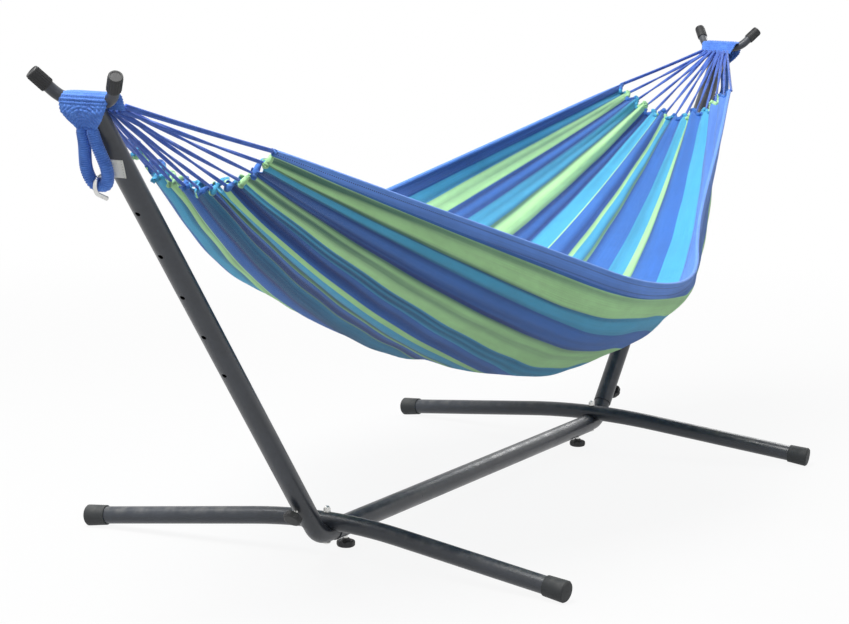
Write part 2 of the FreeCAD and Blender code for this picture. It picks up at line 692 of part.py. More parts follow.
def row_arc():
    """Radius and half angle of the arc that the end of the bed hangs in."""
    half, drop = dim("row_half_width"), dim("row_drop")
    radius = (half ** 2 + drop ** 2) / (2 * drop)
    return radius, math.asin(half / radius)


def end_hem(label, sign):
    """The rolled hem across one end of the bed, an arc that the clew cords are looped through."""
    body = new_body(label, Placement(Vector(sign * dim("bed_half_length"), 0, dim("row_height")), UPRIGHT))
    radius, half_angle = row_arc()
    bottom = -dim("row_drop")
    corners = [(0.0, bottom), (radius * math.tan(half_angle / 2), bottom), (dim("row_half_width"), 0.0)]
    roll = new_sketch(body, "XZ")
    add_circle(roll, cell("end_hem_dia"), (0.0, bottom))
    pipe = add_pipe(body, roll, run_sketch(body, "YZ", corners, [radius]))
    add_mirror(body, pipe, "XZ")
    return body


def clew_cords(label, sign):
    """Straight cords fanning from the clew band to evenly spaced points of the end hem."""
    count = int(dim("cord_count"))
    radius, half_angle = row_arc()
    centre_height = dim("row_height") - dim("row_drop") + radius
    cords = []
    for number in range(count):
        across = 2 * number / (count - 1) - 1
        stagger = dim("cord_stagger") * (-1) ** number
        start = Vector(sign * dim("cord_start_reach"), dim("cord_start_half") * across,
                       dim("cord_start_height") + stagger)
        stop = Vector(sign * dim("cord_end_reach"), radius * math.sin(half_angle * across),
                      centre_height - radius * math.cos(half_angle * across))
        cord = DOC.addObject("Part::Cylinder", "%s_%02d" % (label, number))
        cord.setExpression("Radius", cell("cord_dia") + " / 2")
        cord.Height = (stop - start).Length
        cord.Placement = Placement(start, Rotation(Vector(0, 0, 1), stop - start))
        cords.append(cord)
    return group(label, cords)


# ---------------------------------------------------------------- build and write
node("centre_beam", centre_beam())
for end, turn in ENDS.items():
    sign = -1 if end == "near" else 1
    node("elbow_" + end, elbow("elbow_" + end, turn))
    node("foot_tube_" + end, foot_tube("foot_tube_" + end, turn))
    node("foot_caps_" + end, foot_caps("foot_caps_" + end, turn))
    node("foot_bolt_" + end, foot_bolt("foot_bolt_" + end, turn))
    node("cap_nut_" + end, cap_nut("cap_nut_" + end, turn))
    node("mast_" + end, mast("mast_" + end, turn))
    node("fork_" + end, fork("fork_" + end, turn))
    node("fork_caps_" + end, fork_caps("fork_caps_" + end, turn))
    node("weld_nuts_" + end, weld_nuts("weld_nuts_" + end, turn))
    for place, seat in KNOB_FRAMES.items():
        name = "%s_knob_%s" % (place, end)
        node(name, knob(name, turn * seat))
        name = "%s_knob_bolt_%s" % (place, end)
        node(name, knob_bolt(name, turn * seat))
    node("loop_hook_" + end, loop_hook("loop_hook_" + end, turn))
    node("clew_band_" + end, band("clew_band_" + end, turn))
    node("hanging_loop_" + end, loop("hanging_loop_" + end, turn))
    node("tag_" + end, tag("tag_" + end, turn))
    node("end_hem_" + end, end_hem("end_hem_" + end, sign))
    node("clew_cords_" + end, clew_cords("clew_cords_" + end, sign))
node("side_hems", side_hems("side_hems"))
node("hammock_bed", hammock_bed("hammock_bed"))

DOC.recompute()
for thing in DOC.Objects:
    if "Invalid" in thing.State or "Error" in thing.State:
        raise ValueError("%s failed: %s" % (thing.Label, thing.State))
for thing in NODES:
    if thing.Shape.isNull() or not thing.Shape.isValid():
        raise ValueError("%s has no valid shape" % thing.Label)

os.makedirs("parts", exist_ok=True)
for thing in NODES:
    thing.Shape.exportStep("parts/%s.step" % thing.Label)
print("%d sub-parts written" % len(NODES))
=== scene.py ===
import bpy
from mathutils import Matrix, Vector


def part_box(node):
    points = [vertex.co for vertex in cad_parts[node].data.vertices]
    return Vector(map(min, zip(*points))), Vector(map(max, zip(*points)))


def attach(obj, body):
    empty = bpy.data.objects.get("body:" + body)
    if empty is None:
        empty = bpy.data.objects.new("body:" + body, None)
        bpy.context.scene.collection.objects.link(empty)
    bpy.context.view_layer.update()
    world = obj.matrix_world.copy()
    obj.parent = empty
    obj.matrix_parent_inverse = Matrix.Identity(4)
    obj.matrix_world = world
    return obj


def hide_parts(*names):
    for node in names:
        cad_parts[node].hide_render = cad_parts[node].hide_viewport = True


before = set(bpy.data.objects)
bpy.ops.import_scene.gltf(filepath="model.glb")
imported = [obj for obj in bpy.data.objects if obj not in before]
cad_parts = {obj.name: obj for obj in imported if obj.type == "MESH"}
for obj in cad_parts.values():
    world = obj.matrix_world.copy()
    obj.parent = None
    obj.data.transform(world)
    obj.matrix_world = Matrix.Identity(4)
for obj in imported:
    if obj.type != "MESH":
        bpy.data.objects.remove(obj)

"""Dresses a two-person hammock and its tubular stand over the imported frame.

Every new piece is a surface of two parameters worked out as whole arrays.  Lengths are metres, X runs along
the stand from the near mast to the far mast, Y across the bed and Z up.
"""

import logging
import math
from dataclasses import dataclass, field
from enum import Enum
from typing import Sequence

import bpy
import numpy as np
from mathutils import Matrix, Vector

LOG = logging.getLogger("hammock")
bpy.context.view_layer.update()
Array = np.ndarray
Rgb = tuple[float, float, float]
ACROSS = (0.0, 1.0, 0.0)


class End(Enum):
    """The two ends of the stand; the value is the sign of X there."""

    NEAR = -1
    FAR = 1

    @property
    def label(self) -> str:
        """The word that ends the names of this end's pieces."""
        return self.name.lower()

    def turned(self, points: Array) -> Array:
        """Far-end points turned half round about Z for the near end.

        Args:
            points: an array whose last axis is (x, y, z) of the far end.

        Returns:
            The same points at this end.
        """
        return points * np.array([self.value, self.value, 1.0])


class Side(Enum):
    """The two rims of the bed; the value is their place in the sling's pairs."""

    RIGHT = 0
    LEFT = 1


class Fold(Enum):
    """What a strength is drawn for; the value is the row of the draws."""

    GATHER = 0
    LONG = 1


# ---------------------------------------------------------------------------------------------- surfaces
def unit(vectors: Array) -> Array:
    """Vectors scaled to length one along the last axis."""
    return vectors / np.maximum(np.linalg.norm(vectors, axis=-1, keepdims=True), 1e-12)


def smooth_step(low: float, high: float, values: Array) -> Array:
    """0 below low, 1 above high, and 3t^2 - 2t^3 between them."""
    share = np.clip((values - low) / (high - low), 0.0, 1.0)
    return share * share * (3 - 2 * share)


def grid_faces(rows: int, columns: int, closed: bool = False) -> Array:
    """Quads of a grid of points stored row by row.

    Args:
        rows: number of rows.
        columns: number of points in a row.
        closed: whether the last column joins the first.

    Returns:
        An integer array of four corners a face.
    """
    last = columns if closed else columns - 1
    row, column = np.meshgrid(np.arange(rows - 1), np.arange(last), indexing="ij")
    following = (column + 1) % columns
    corners = (row * columns + column, row * columns + following,
               (row + 1) * columns + following, (row + 1) * columns + column)
    return np.stack([corner.ravel() for corner in corners], axis=1)


def swept(path: Array, across: Array, upward: Array, sides: Array, rises: Array) -> Array:
    """A profile carried along a path: point = path + across * side + upward * rise.

    Args:
        path: (n, 3) points.
        across: (n, 3) first axis of each section.
        upward: (n, 3) second axis of each section.
        sides: (n, m) coordinates along the first axis.
        rises: (n, m) coordinates along the second axis.

    Returns:
        An (n, m, 3) array.
    """
    return (path[:, None, :] + across[:, None, :] * sides[..., None]
            + upward[:, None, :] * rises[..., None])


def tube_grid(path: Array, axes: tuple[Array, Array], radius: Array) -> Array:
    """Rings round a path: point = path + radius * (across * cos(angle) + upward * sin(angle)).

    Args:
        path: (n, 3) points.
        axes: the two (n, 3) axes of each section.
        radius: (n, m) radius at each of m even angles.

    Returns:
        An (n, m, 3) array.
    """
    turn = ring_angles(radius.shape[1])
    return swept(path, *axes, radius * np.cos(turn), radius * np.sin(turn))


def ring_angles(count: int) -> Array:
    """Even angles round a ring whose last point is not its first again."""
    return np.linspace(0, 2 * np.pi, count, endpoint=False)


def lattice(rows: Array, columns: Array) -> Array:
    """Every pair of a row's and a column's value, as an (n, m, 2) array."""
    return np.stack(np.meshgrid(rows, columns, indexing="ij"), axis=2)


def path_axes(path: Array, reference: Sequence[float]) -> tuple[Array, Array]:
    """Two axes square to a path: the reference cross the tangent, and the tangent cross that.

    Args:
        path: (n, 3) points.
        reference: a direction that the path never runs along.

    Returns:
        The two (n, 3) arrays of unit vectors.
    """
    tangent = unit(np.gradient(path, axis=0))
    across = unit(np.cross(np.asarray(reference, float), tangent))
    return across, np.cross(tangent, across)


def measured(path: Array) -> Array:
    """Distance along a path at each of its points."""
    steps = np.linalg.norm(np.diff(path, axis=0), axis=1)
    return np.concatenate([[0.0], np.cumsum(steps)])


def resampled(path: Array, step: float) -> Array:
    """The path's points again, evenly spaced about step apart by linear interpolation along its length.

    Args:
        path: (n, 3) points.
        step: spacing of the new points.

    Returns:
        (m, 3) points.
    """
    along = measured(path)
    count = max(2, int(round(along[-1] / step)) + 1)
    wanted = np.linspace(0.0, along[-1], count)
    return np.stack([np.interp(wanted, along, path[:, axis]) for axis in range(3)], axis=1)


def spline_through(points: Array, resolution: int = 24) -> Array:
    """Points of the NURBS curve of order three whose control points are given, read from a bare curve.

    Args:
        points: (n, 3) control points.
        resolution: points for each span.

    Returns:
        An (m, 3) array along the curve.
    """
    data = bpy.data.curves.new("route", "CURVE")
    data.dimensions = "3D"
    spline = data.splines.new("NURBS")
    spline.points.add(len(points) - 1)
    spline.points.foreach_set("co", np.c_[points, np.ones(len(points))].ravel())
    spline.order_u = 3
    spline.use_endpoint_u = True
    spline.resolution_u = resolution
    holder = bpy.data.objects.new("route", data)
    mesh = bpy.data.meshes.new_from_object(holder)
    flat = np.empty(len(mesh.vertices) * 3)
    mesh.vertices.foreach_get("co", flat)
    bpy.data.meshes.remove(mesh)
    bpy.data.objects.remove(holder)
    bpy.data.curves.remove(data)
    return flat.reshape(-1, 3)


@dataclass
class Surface:
    """Points, faces and texture coordinates of a piece, before it becomes a mesh."""

    points: Array
    faces: Array
    uv: Array

    @classmethod
    def of_grid(cls, grid: Array, uv: Array, closed: bool = False) -> "Surface":
        """A grid of points as quads.

        Args:
            grid: (rows, columns, 3) points.
            uv: (rows, columns, 2) texture coordinates.
            closed: whether each row is a ring.

        Returns:
            The surface.
        """
        rows, columns = grid.shape[:2]
        return cls(grid.reshape(-1, 3), grid_faces(rows, columns, closed), uv.reshape(-1, 2))

    @classmethod
    def of_faces(cls, front: Array, back: Array, uv: Array, ends: bool = True) -> "Surface":
        """A slab between the grids of its two faces, joined along their sides.

        Args:
            front: (rows, columns, 3) points of one face.
            back: the same of the other face.
            uv: (rows, columns, 2) texture coordinates of both.
            ends: whether quads also close the first and the last row.

        Returns:
            The surface.
        """
        rows, columns = front.shape[:2]
        surface = cls.of_grid(np.concatenate([front, back[:, ::-1]], axis=1),
                              np.concatenate([uv, uv[:, ::-1]], axis=1), closed=True)
        if ends:
            column = np.arange(columns - 1)
            mirror = 2 * columns - 1 - column
            first = np.stack([column, mirror, mirror - 1, column + 1], axis=1)
            last = first[:, ::-1] + (rows - 1) * 2 * columns
            surface.faces = np.concatenate([surface.faces, first, last])
        return surface


def make_piece(name: str, surface: Surface, body: str, material: bpy.types.Material) -> bpy.types.Object:
    """Turns a surface into a smooth mesh object that rides on a body.

    Args:
        name: the piece's name.
        surface: its points, faces and texture coordinates.
        body: the body that it moves with.
        material: its finish.

    Returns:
        The object, at the origin.
    """
    mesh = bpy.data.meshes.new(name)
    count = len(surface.faces)
    mesh.vertices.add(len(surface.points))
    mesh.vertices.foreach_set("co", surface.points.astype(np.float32).ravel())
    mesh.loops.add(count * 4)
    mesh.loops.foreach_set("vertex_index", surface.faces.astype(np.int32).ravel())
    mesh.polygons.add(count)
    mesh.polygons.foreach_set("loop_start", np.arange(0, count * 4, 4, dtype=np.int32))
    mesh.polygons.foreach_set("use_smooth", np.ones(count, dtype=bool))
    layer = mesh.uv_layers.new(name="cloth")
    layer.uv.foreach_set("vector", surface.uv[surface.faces.ravel()].astype(np.float32).ravel())
    mesh.materials.append(material)
    mesh.update(calc_edges=True)
    mesh.validate()
    piece = bpy.data.objects.new(name, mesh)
    bpy.context.scene.collection.objects.link(piece)
    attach(piece, body)
    return piece


# ---------------------------------------------------------------------------------------------- finishes
def linear(code: str) -> Rgb:
    """A colour written as six hexadecimal digits, turned from display values to linear ones.

    Args:
        code: the six digits.

    Returns:
        The linear red, green and blue.
    """
    parts = np.array([int(code[index:index + 2], 16) for index in (0, 2, 4)]) / 255.0
    low, high = parts / 12.92, ((parts + 0.055) / 1.055) ** 2.4
    red, green, blue = np.where(parts <= 0.04045, low, high)
    return float(red), float(green), float(blue)


class Tree:
    """A short hand for adding nodes to a tree and joining them."""

    def __init__(self, tree: bpy.types.NodeTree) -> None:
        """Keeps the tree that nodes are added to."""
        self.tree = tree

    @classmethod
    def cleared(cls, owner: bpy.types.ID) -> "Tree":
        """The tree of a material or world, emptied.

        Args:
            owner: the material or world.

        Returns:
            The tree.
        """
        owner.use_nodes = True
        owner.node_tree.nodes.clear()
        return cls(owner.node_tree)

    def blended(self, factor: object, first: bpy.types.Node, second: bpy.types.Node, output: str) -> None:
        """Mixes two shaders and feeds the result to the tree's output.

        Args:
            factor: the second shader's share.
            first: the first shader's node.
            second: the second shader's node.
            output: the output node's kind.
        """
        blend = self.add("ShaderNodeMixShader")
        for socket, value in zip(blend.inputs, (factor, first.outputs[0], second.outputs[0])):
            self.feed(socket, value)
        self.feed(self.add(output).inputs["Surface"], blend.outputs[0])

    def add(self, kind: str, **settings: object) -> bpy.types.Node:
        """A new node whose attributes are set from the keywords.

        Args:
            kind: the node's type.
            settings: attributes and their values.

        Returns:
            The node.
        """
        node = self.tree.nodes.new(kind)
        for key, value in settings.items():
            setattr(node, key, value)
        return node

    def feed(self, socket: bpy.types.NodeSocket, value: object) -> None:
        """Joins an output socket to an input, or sets a plain value on it.

        Args:
            socket: the input.
            value: an output socket, a number, a vector or a colour.
        """
        if isinstance(value, bpy.types.NodeSocket):
            self.tree.links.new(value, socket)
        elif isinstance(value, tuple) and len(value) == 3 and socket.type == "RGBA":
            socket.default_value = (*value, 1.0)
        else:
            socket.default_value = value

    def math(self, operation: str, first: object, second: object = 0.0, third: object = 0.0,
             clamp: bool = False) -> bpy.types.NodeSocket:
        """The output of a Math node.

        Args:
            operation: what it works out.
            first: its first input.
            second: its second input.
            third: its third input.
            clamp: whether the result stays between 0 and 1.

        Returns:
            The output socket.
        """
        node = self.add("ShaderNodeMath", operation=operation, use_clamp=clamp)
        for socket, value in zip(node.inputs, (first, second, third)):
            self.feed(socket, value)
        return node.outputs[0]

    def mix(self, factor: object, first: object, second: object,
            blend: str = "MIX") -> bpy.types.NodeSocket:
        """The colour output of a Mix node.

        Args:
            factor: the second colour's share.
            first: the first colour.
            second: the second colour.
            blend: how they blend.

        Returns:
            The colour socket.
        """
        node = self.add("ShaderNodeMix", data_type="RGBA", blend_type=blend)
        for index, value in ((0, factor), (6, first), (7, second)):
            self.feed(node.inputs[index], value)
        return node.outputs[2]

    def noise(self, vector: bpy.types.NodeSocket, scale: object, detail: float = 3.0,
              roughness: float = 0.55) -> bpy.types.NodeSocket:
        """The value of a Noise Texture.

        Args:
            vector: where it is read.
            scale: its scale.
            detail: how many finer layers it has.
            roughness: how strong those are.

        Returns:
            The value socket.
        """
        node = self.add("ShaderNodeTexNoise")
        node.inputs["Detail"].default_value = detail
        node.inputs["Roughness"].default_value = roughness
        self.feed(node.inputs["Vector"], vector)
        self.feed(node.inputs["Scale"], scale)
        return node.outputs["Fac"]

    def stretched(self, vector: bpy.types.NodeSocket, scale: tuple[float, float, float],
                  turn: tuple[float, float, float] = (0.0, 0.0, 0.0)) -> bpy.types.NodeSocket:
        """The vector scaled and turned by a Mapping node.

        Args:
            vector: the vector.
            scale: the three scales.
            turn: the three turns in radians.

        Returns:
            The vector socket.
        """
        node = self.add("ShaderNodeMapping")
        self.feed(node.inputs["Vector"], vector)
        node.inputs["Scale"].default_value = scale
        node.inputs["Rotation"].default_value = turn
        return node.outputs[0]

    def ranged(self, value: bpy.types.NodeSocket, low: float, high: float,
               to_low: float = 0.0, to_high: float = 1.0) -> bpy.types.NodeSocket:
        """A value moved smoothly from one range to another.

        Args:
            value: the value.
            low: the first range's low end.
            high: its high end.
            to_low: the second range's low end.
            to_high: its high end.

        Returns:
            The value socket.
        """
        node = self.add("ShaderNodeMapRange", interpolation_type="SMOOTHSTEP")
        for socket, setting in zip(node.inputs, (value, low, high, to_low, to_high)):
            self.feed(socket, setting)
        return node.outputs[0]

    def group(self, tree: bpy.types.NodeTree, **inputs: object) -> bpy.types.Node:
        """A group node with its inputs fed by name; underscores stand for spaces.

        Args:
            tree: the group.
            inputs: its inputs by name.

        Returns:
            The group node.
        """
        node = self.add("ShaderNodeGroup", node_tree=tree)
        for key, value in inputs.items():
            self.feed(node.inputs[key.replace("_", " ")], value)
        return node


def new_group(name: str, inputs: dict[str, tuple[str, object]],
              outputs: dict[str, str]) -> tuple[Tree, bpy.types.Node, bpy.types.Node]:
    """An empty shader node group with named sockets.

    Args:
        name: the group's name.
        inputs: for each input its socket type and default value.
        outputs: for each output its socket type.

    Returns:
        The group's tree and its input and output nodes.
    """
    group = bpy.data.node_groups.new(name, "ShaderNodeTree")
    for label, (kind, value) in inputs.items():
        socket = group.interface.new_socket(label, in_out="INPUT", socket_type="NodeSocket" + kind)
        if value is not None:
            socket.default_value = value
    for label, kind in outputs.items():
        group.interface.new_socket(label, in_out="OUTPUT", socket_type="NodeSocket" + kind)
    tree = Tree(group)
    return tree, tree.add("NodeGroupInput"), tree.add("NodeGroupOutput")


def mottle_group() -> bpy.types.NodeTree:
    """Cloudy variation: two noises of different sizes, the finer one half as strong.

    Returns:
        The group.
    """
    tree, start, stop = new_group(
        "mottle", {"Vector": ("Vector", None), "Scale": ("Float", 8.0), "Low": ("Float", 0.8),
                   "High": ("Float", 1.1)}, {"Value": "Float"})
    coarse = tree.noise(start.outputs["Vector"], start.outputs["Scale"], 2.0)
    fine = tree.noise(start.outputs["Vector"], tree.math("MULTIPLY", start.outputs["Scale"], 7.3), 4.0)
    both = tree.math("MULTIPLY_ADD", fine, 0.35, tree.math("MULTIPLY", coarse, 0.65))
    span = tree.math("SUBTRACT", start.outputs["High"], start.outputs["Low"])
    spread = tree.ranged(both, 0.3, 0.7)
    tree.feed(stop.inputs["Value"], tree.math("MULTIPLY_ADD", spread, span, start.outputs["Low"]))
    return tree.tree


def weave_group() -> bpy.types.NodeTree:
    """Plain weave: lengthwise and crosswise threads as two rows of half sines, one over the other in turn,
    with each thread a little thicker or thinner than the next.

    Returns:
        The group.
    """
    tree, start, stop = new_group(
        "weave", {"Vector": ("Vector", None), "Threads": ("Float", 700.0)},
        {"Height": "Float", "Shade": "Float"})
    apart = tree.add("ShaderNodeSeparateXYZ")
    tree.feed(apart.inputs[0], start.outputs["Vector"])
    turns = tree.math("MULTIPLY", start.outputs["Threads"], math.pi)
    along = tree.math("MULTIPLY", apart.outputs["X"], turns)
    across = tree.math("MULTIPLY", apart.outputs["Y"], turns)
    warp = tree.math("ABSOLUTE", tree.math("SINE", across))
    weft = tree.math("ABSOLUTE", tree.math("SINE", along))
    over = tree.math("MULTIPLY", tree.math("SINE", across), tree.math("SINE", along))
    pick = tree.ranged(over, -0.3, 0.3)
    height = tree.math("MULTIPLY_ADD", warp, pick, tree.math("MULTIPLY", weft, tree.math("SUBTRACT", 1.0, pick)))
    slub = tree.noise(tree.stretched(start.outputs["Vector"], (6.0, 900.0, 1.0)), 1.0, 2.0)
    tree.feed(stop.inputs["Height"], height)
    shade = tree.math("MULTIPLY_ADD", height, 0.16, tree.math("MULTIPLY_ADD", slub, 0.34, 0.72))
    tree.feed(stop.inputs["Shade"], shade)
    return tree.tree


def twist_group() -> bpy.types.NodeTree:
    """Spun yarn: fine slanting fibres as a noise stretched along a turned direction.

    Returns:
        The group.
    """
    tree, start, stop = new_group(
        "twist", {"Vector": ("Vector", None), "Fibres": ("Float", 2600.0)},
        {"Height": "Float", "Shade": "Float"})
    slanted = tree.stretched(start.outputs["Vector"], (1.0, 0.12, 1.0), (0.0, 0.0, 0.6))
    fibres = tree.noise(slanted, start.outputs["Fibres"], 2.0)
    patches = tree.noise(start.outputs["Vector"], 60.0, 2.0)
    tree.feed(stop.inputs["Height"], fibres)
    shade = tree.math("MULTIPLY_ADD", fibres, 0.35, tree.math("MULTIPLY_ADD", patches, 0.3, 0.68))
    tree.feed(stop.inputs["Shade"], shade)
    return tree.tree


def dust_and_top_light_group() -> bpy.types.NodeTree:
    """Mask of dust and painted top light: the upward share of the normal, broken up by a noise.

    Returns:
        The group.
    """
    tree, start, stop = new_group(
        "dust_and_top_light", {"Vector": ("Vector", None), "Amount": ("Float", 0.3)}, {"Mask": "Float"})
    geometry = tree.add("ShaderNodeNewGeometry")
    apart = tree.add("ShaderNodeSeparateXYZ")
    tree.feed(apart.inputs[0], geometry.outputs["Normal"])
    upward = tree.ranged(apart.outputs["Z"], 0.1, 0.95)
    patches = tree.ranged(tree.noise(start.outputs["Vector"], 38.0, 5.0), 0.35, 0.75)
    mask = tree.math("MULTIPLY", tree.math("MULTIPLY", upward, patches), start.outputs["Amount"])
    tree.feed(stop.inputs["Mask"], mask)
    return tree.tree


class Groups:
    """The shared node groups, built once."""

    def __init__(self) -> None:
        """Builds every group."""
        self.mottle = mottle_group()
        self.weave = weave_group()
        self.twist = twist_group()
        self.dust_and_top_light = dust_and_top_light_group()


@dataclass(frozen=True)
class Finish:
    """What every finish has: its name and the plain numbers of its shader."""

    name: str
    roughness: float = 0.5
    metallic: float = 0.0
    sheen: float = 0.0

    def shader(self) -> tuple[Tree, bpy.types.Node, bpy.types.Node, bpy.types.Material]:
        """A fresh material with a Principled shader and a Texture Coordinate node.

        Returns:
            The tree, the shader, the coordinate node and the material.
        """
        material = bpy.data.materials.new(self.name)
        tree = Tree.cleared(material)
        shader = tree.add("ShaderNodeBsdfPrincipled")
        output = tree.add("ShaderNodeOutputMaterial")
        tree.feed(output.inputs["Surface"], shader.outputs[0])
        shader.inputs["Roughness"].default_value = self.roughness
        shader.inputs["Metallic"].default_value = self.metallic
        shader.inputs["Sheen Weight"].default_value = self.sheen
        shader.inputs["Sheen Roughness"].default_value = 0.5
        return tree, shader, tree.add("ShaderNodeTexCoord"), material

    @staticmethod
    def bump(tree: Tree, shader: bpy.types.Node, height: bpy.types.NodeSocket, distance: float) -> None:
        """Feeds a height, whose unit is the distance in metres, to the shader's normal.

        Args:
            tree: the material's tree.
            shader: its shader.
            height: the height.
            distance: the height's unit.
        """
        node = tree.add("ShaderNodeBump")
        node.inputs["Strength"].default_value = 1.0
        node.inputs["Distance"].default_value = distance
        tree.feed(node.inputs["Height"], height)
        tree.feed(shader.inputs["Normal"], node.outputs[0])


@dataclass(frozen=True)
class Coated(Finish):
    """Hard dark surfaces: powder coat, rubber and moulded plastic."""

    colour: Rgb = (0.05, 0.05, 0.05)
    worn: Rgb = (0.1, 0.1, 0.1)
    grain: float = 900.0
    depth: float = 0.00008
    # Dust and painted top light: how much, and the pale grey that the top faces go towards.
    dust_and_top_light: float = 0.25
    dust_and_top_light_colour: Rgb = linear("8d8c88")

    def build(self, groups: Groups) -> bpy.types.Material:
        """Colour mottled towards its worn tone, dust and a painted highlight lightening the top faces, and a pebbled
        grain.

        Args:
            groups: the shared node groups.

        Returns:
            The material.
        """
        tree, shader, coordinates, material = self.shader()
        place = coordinates.outputs["Object"]
        mottle = tree.group(groups.mottle, Vector=place, Scale=14.0, Low=0.0, High=1.0).outputs[0]
        base = tree.mix(tree.math("MULTIPLY", mottle, 0.35), self.colour, self.worn)
        dust_and_top_light = tree.group(groups.dust_and_top_light, Vector=place, Amount=self.dust_and_top_light).outputs[0]
        # Dust and painted top light: top faces are mixed towards a pale grey, which also stands for the light
        # falling on them.
        tree.feed(shader.inputs["Base Color"], tree.mix(dust_and_top_light, base, self.dust_and_top_light_colour))
        rough = tree.math("MULTIPLY_ADD", mottle, 0.14, self.roughness - 0.07)
        tree.feed(shader.inputs["Roughness"], tree.math("MULTIPLY_ADD", dust_and_top_light, 0.3, rough, clamp=True))
        self.bump(tree, shader, tree.noise(place, self.grain, 3.0), self.depth)
        return material


@dataclass(frozen=True)
class Plated(Finish):
    """Bright plated steel."""

    colour: Rgb = (0.72, 0.72, 0.7)

    def build(self, groups: Groups) -> bpy.types.Material:
        """Metal whose brightness and roughness are streaked along a fine brushing.

        Args:
            groups: the shared node groups.

        Returns:
            The material.
        """
        tree, shader, coordinates, material = self.shader()
        place = coordinates.outputs["Object"]
        streaks = tree.noise(tree.stretched(place, (0.12, 1.0, 1.0)), 2200.0, 3.0)
        mottle = tree.group(groups.mottle, Vector=place, Scale=60.0, Low=0.75, High=1.05).outputs[0]
        shade = tree.math("MULTIPLY", mottle, tree.math("MULTIPLY_ADD", streaks, 0.3, 0.85))
        tree.feed(shader.inputs["Base Color"], tree.mix(shade, (0.2, 0.2, 0.2), self.colour))
        tree.feed(shader.inputs["Roughness"], tree.math("MULTIPLY_ADD", streaks, 0.25, self.roughness - 0.1))
        self.bump(tree, shader, streaks, 0.00003)
        return material


@dataclass(frozen=True)
class Yarn(Finish):
    """Spun cord: crochet, wraps and clew cords."""

    colour: Rgb = (0.08, 0.16, 0.6)
    shadow: Rgb = (0.03, 0.05, 0.3)

    def build(self, groups: Groups) -> bpy.types.Material:
        """A blue shaded by its fibres and patches, with the fibres as bump.

        Args:
            groups: the shared node groups.

        Returns:
            The material.
        """
        tree, shader, coordinates, material = self.shader()
        place = coordinates.outputs["Object"]
        twist = tree.group(groups.twist, Vector=place)
        shade = tree.ranged(twist.outputs["Shade"], 0.75, 1.15)
        tree.feed(shader.inputs["Base Color"], tree.mix(shade, self.shadow, self.colour))
        self.bump(tree, shader, twist.outputs["Height"], 0.0003)
        return material


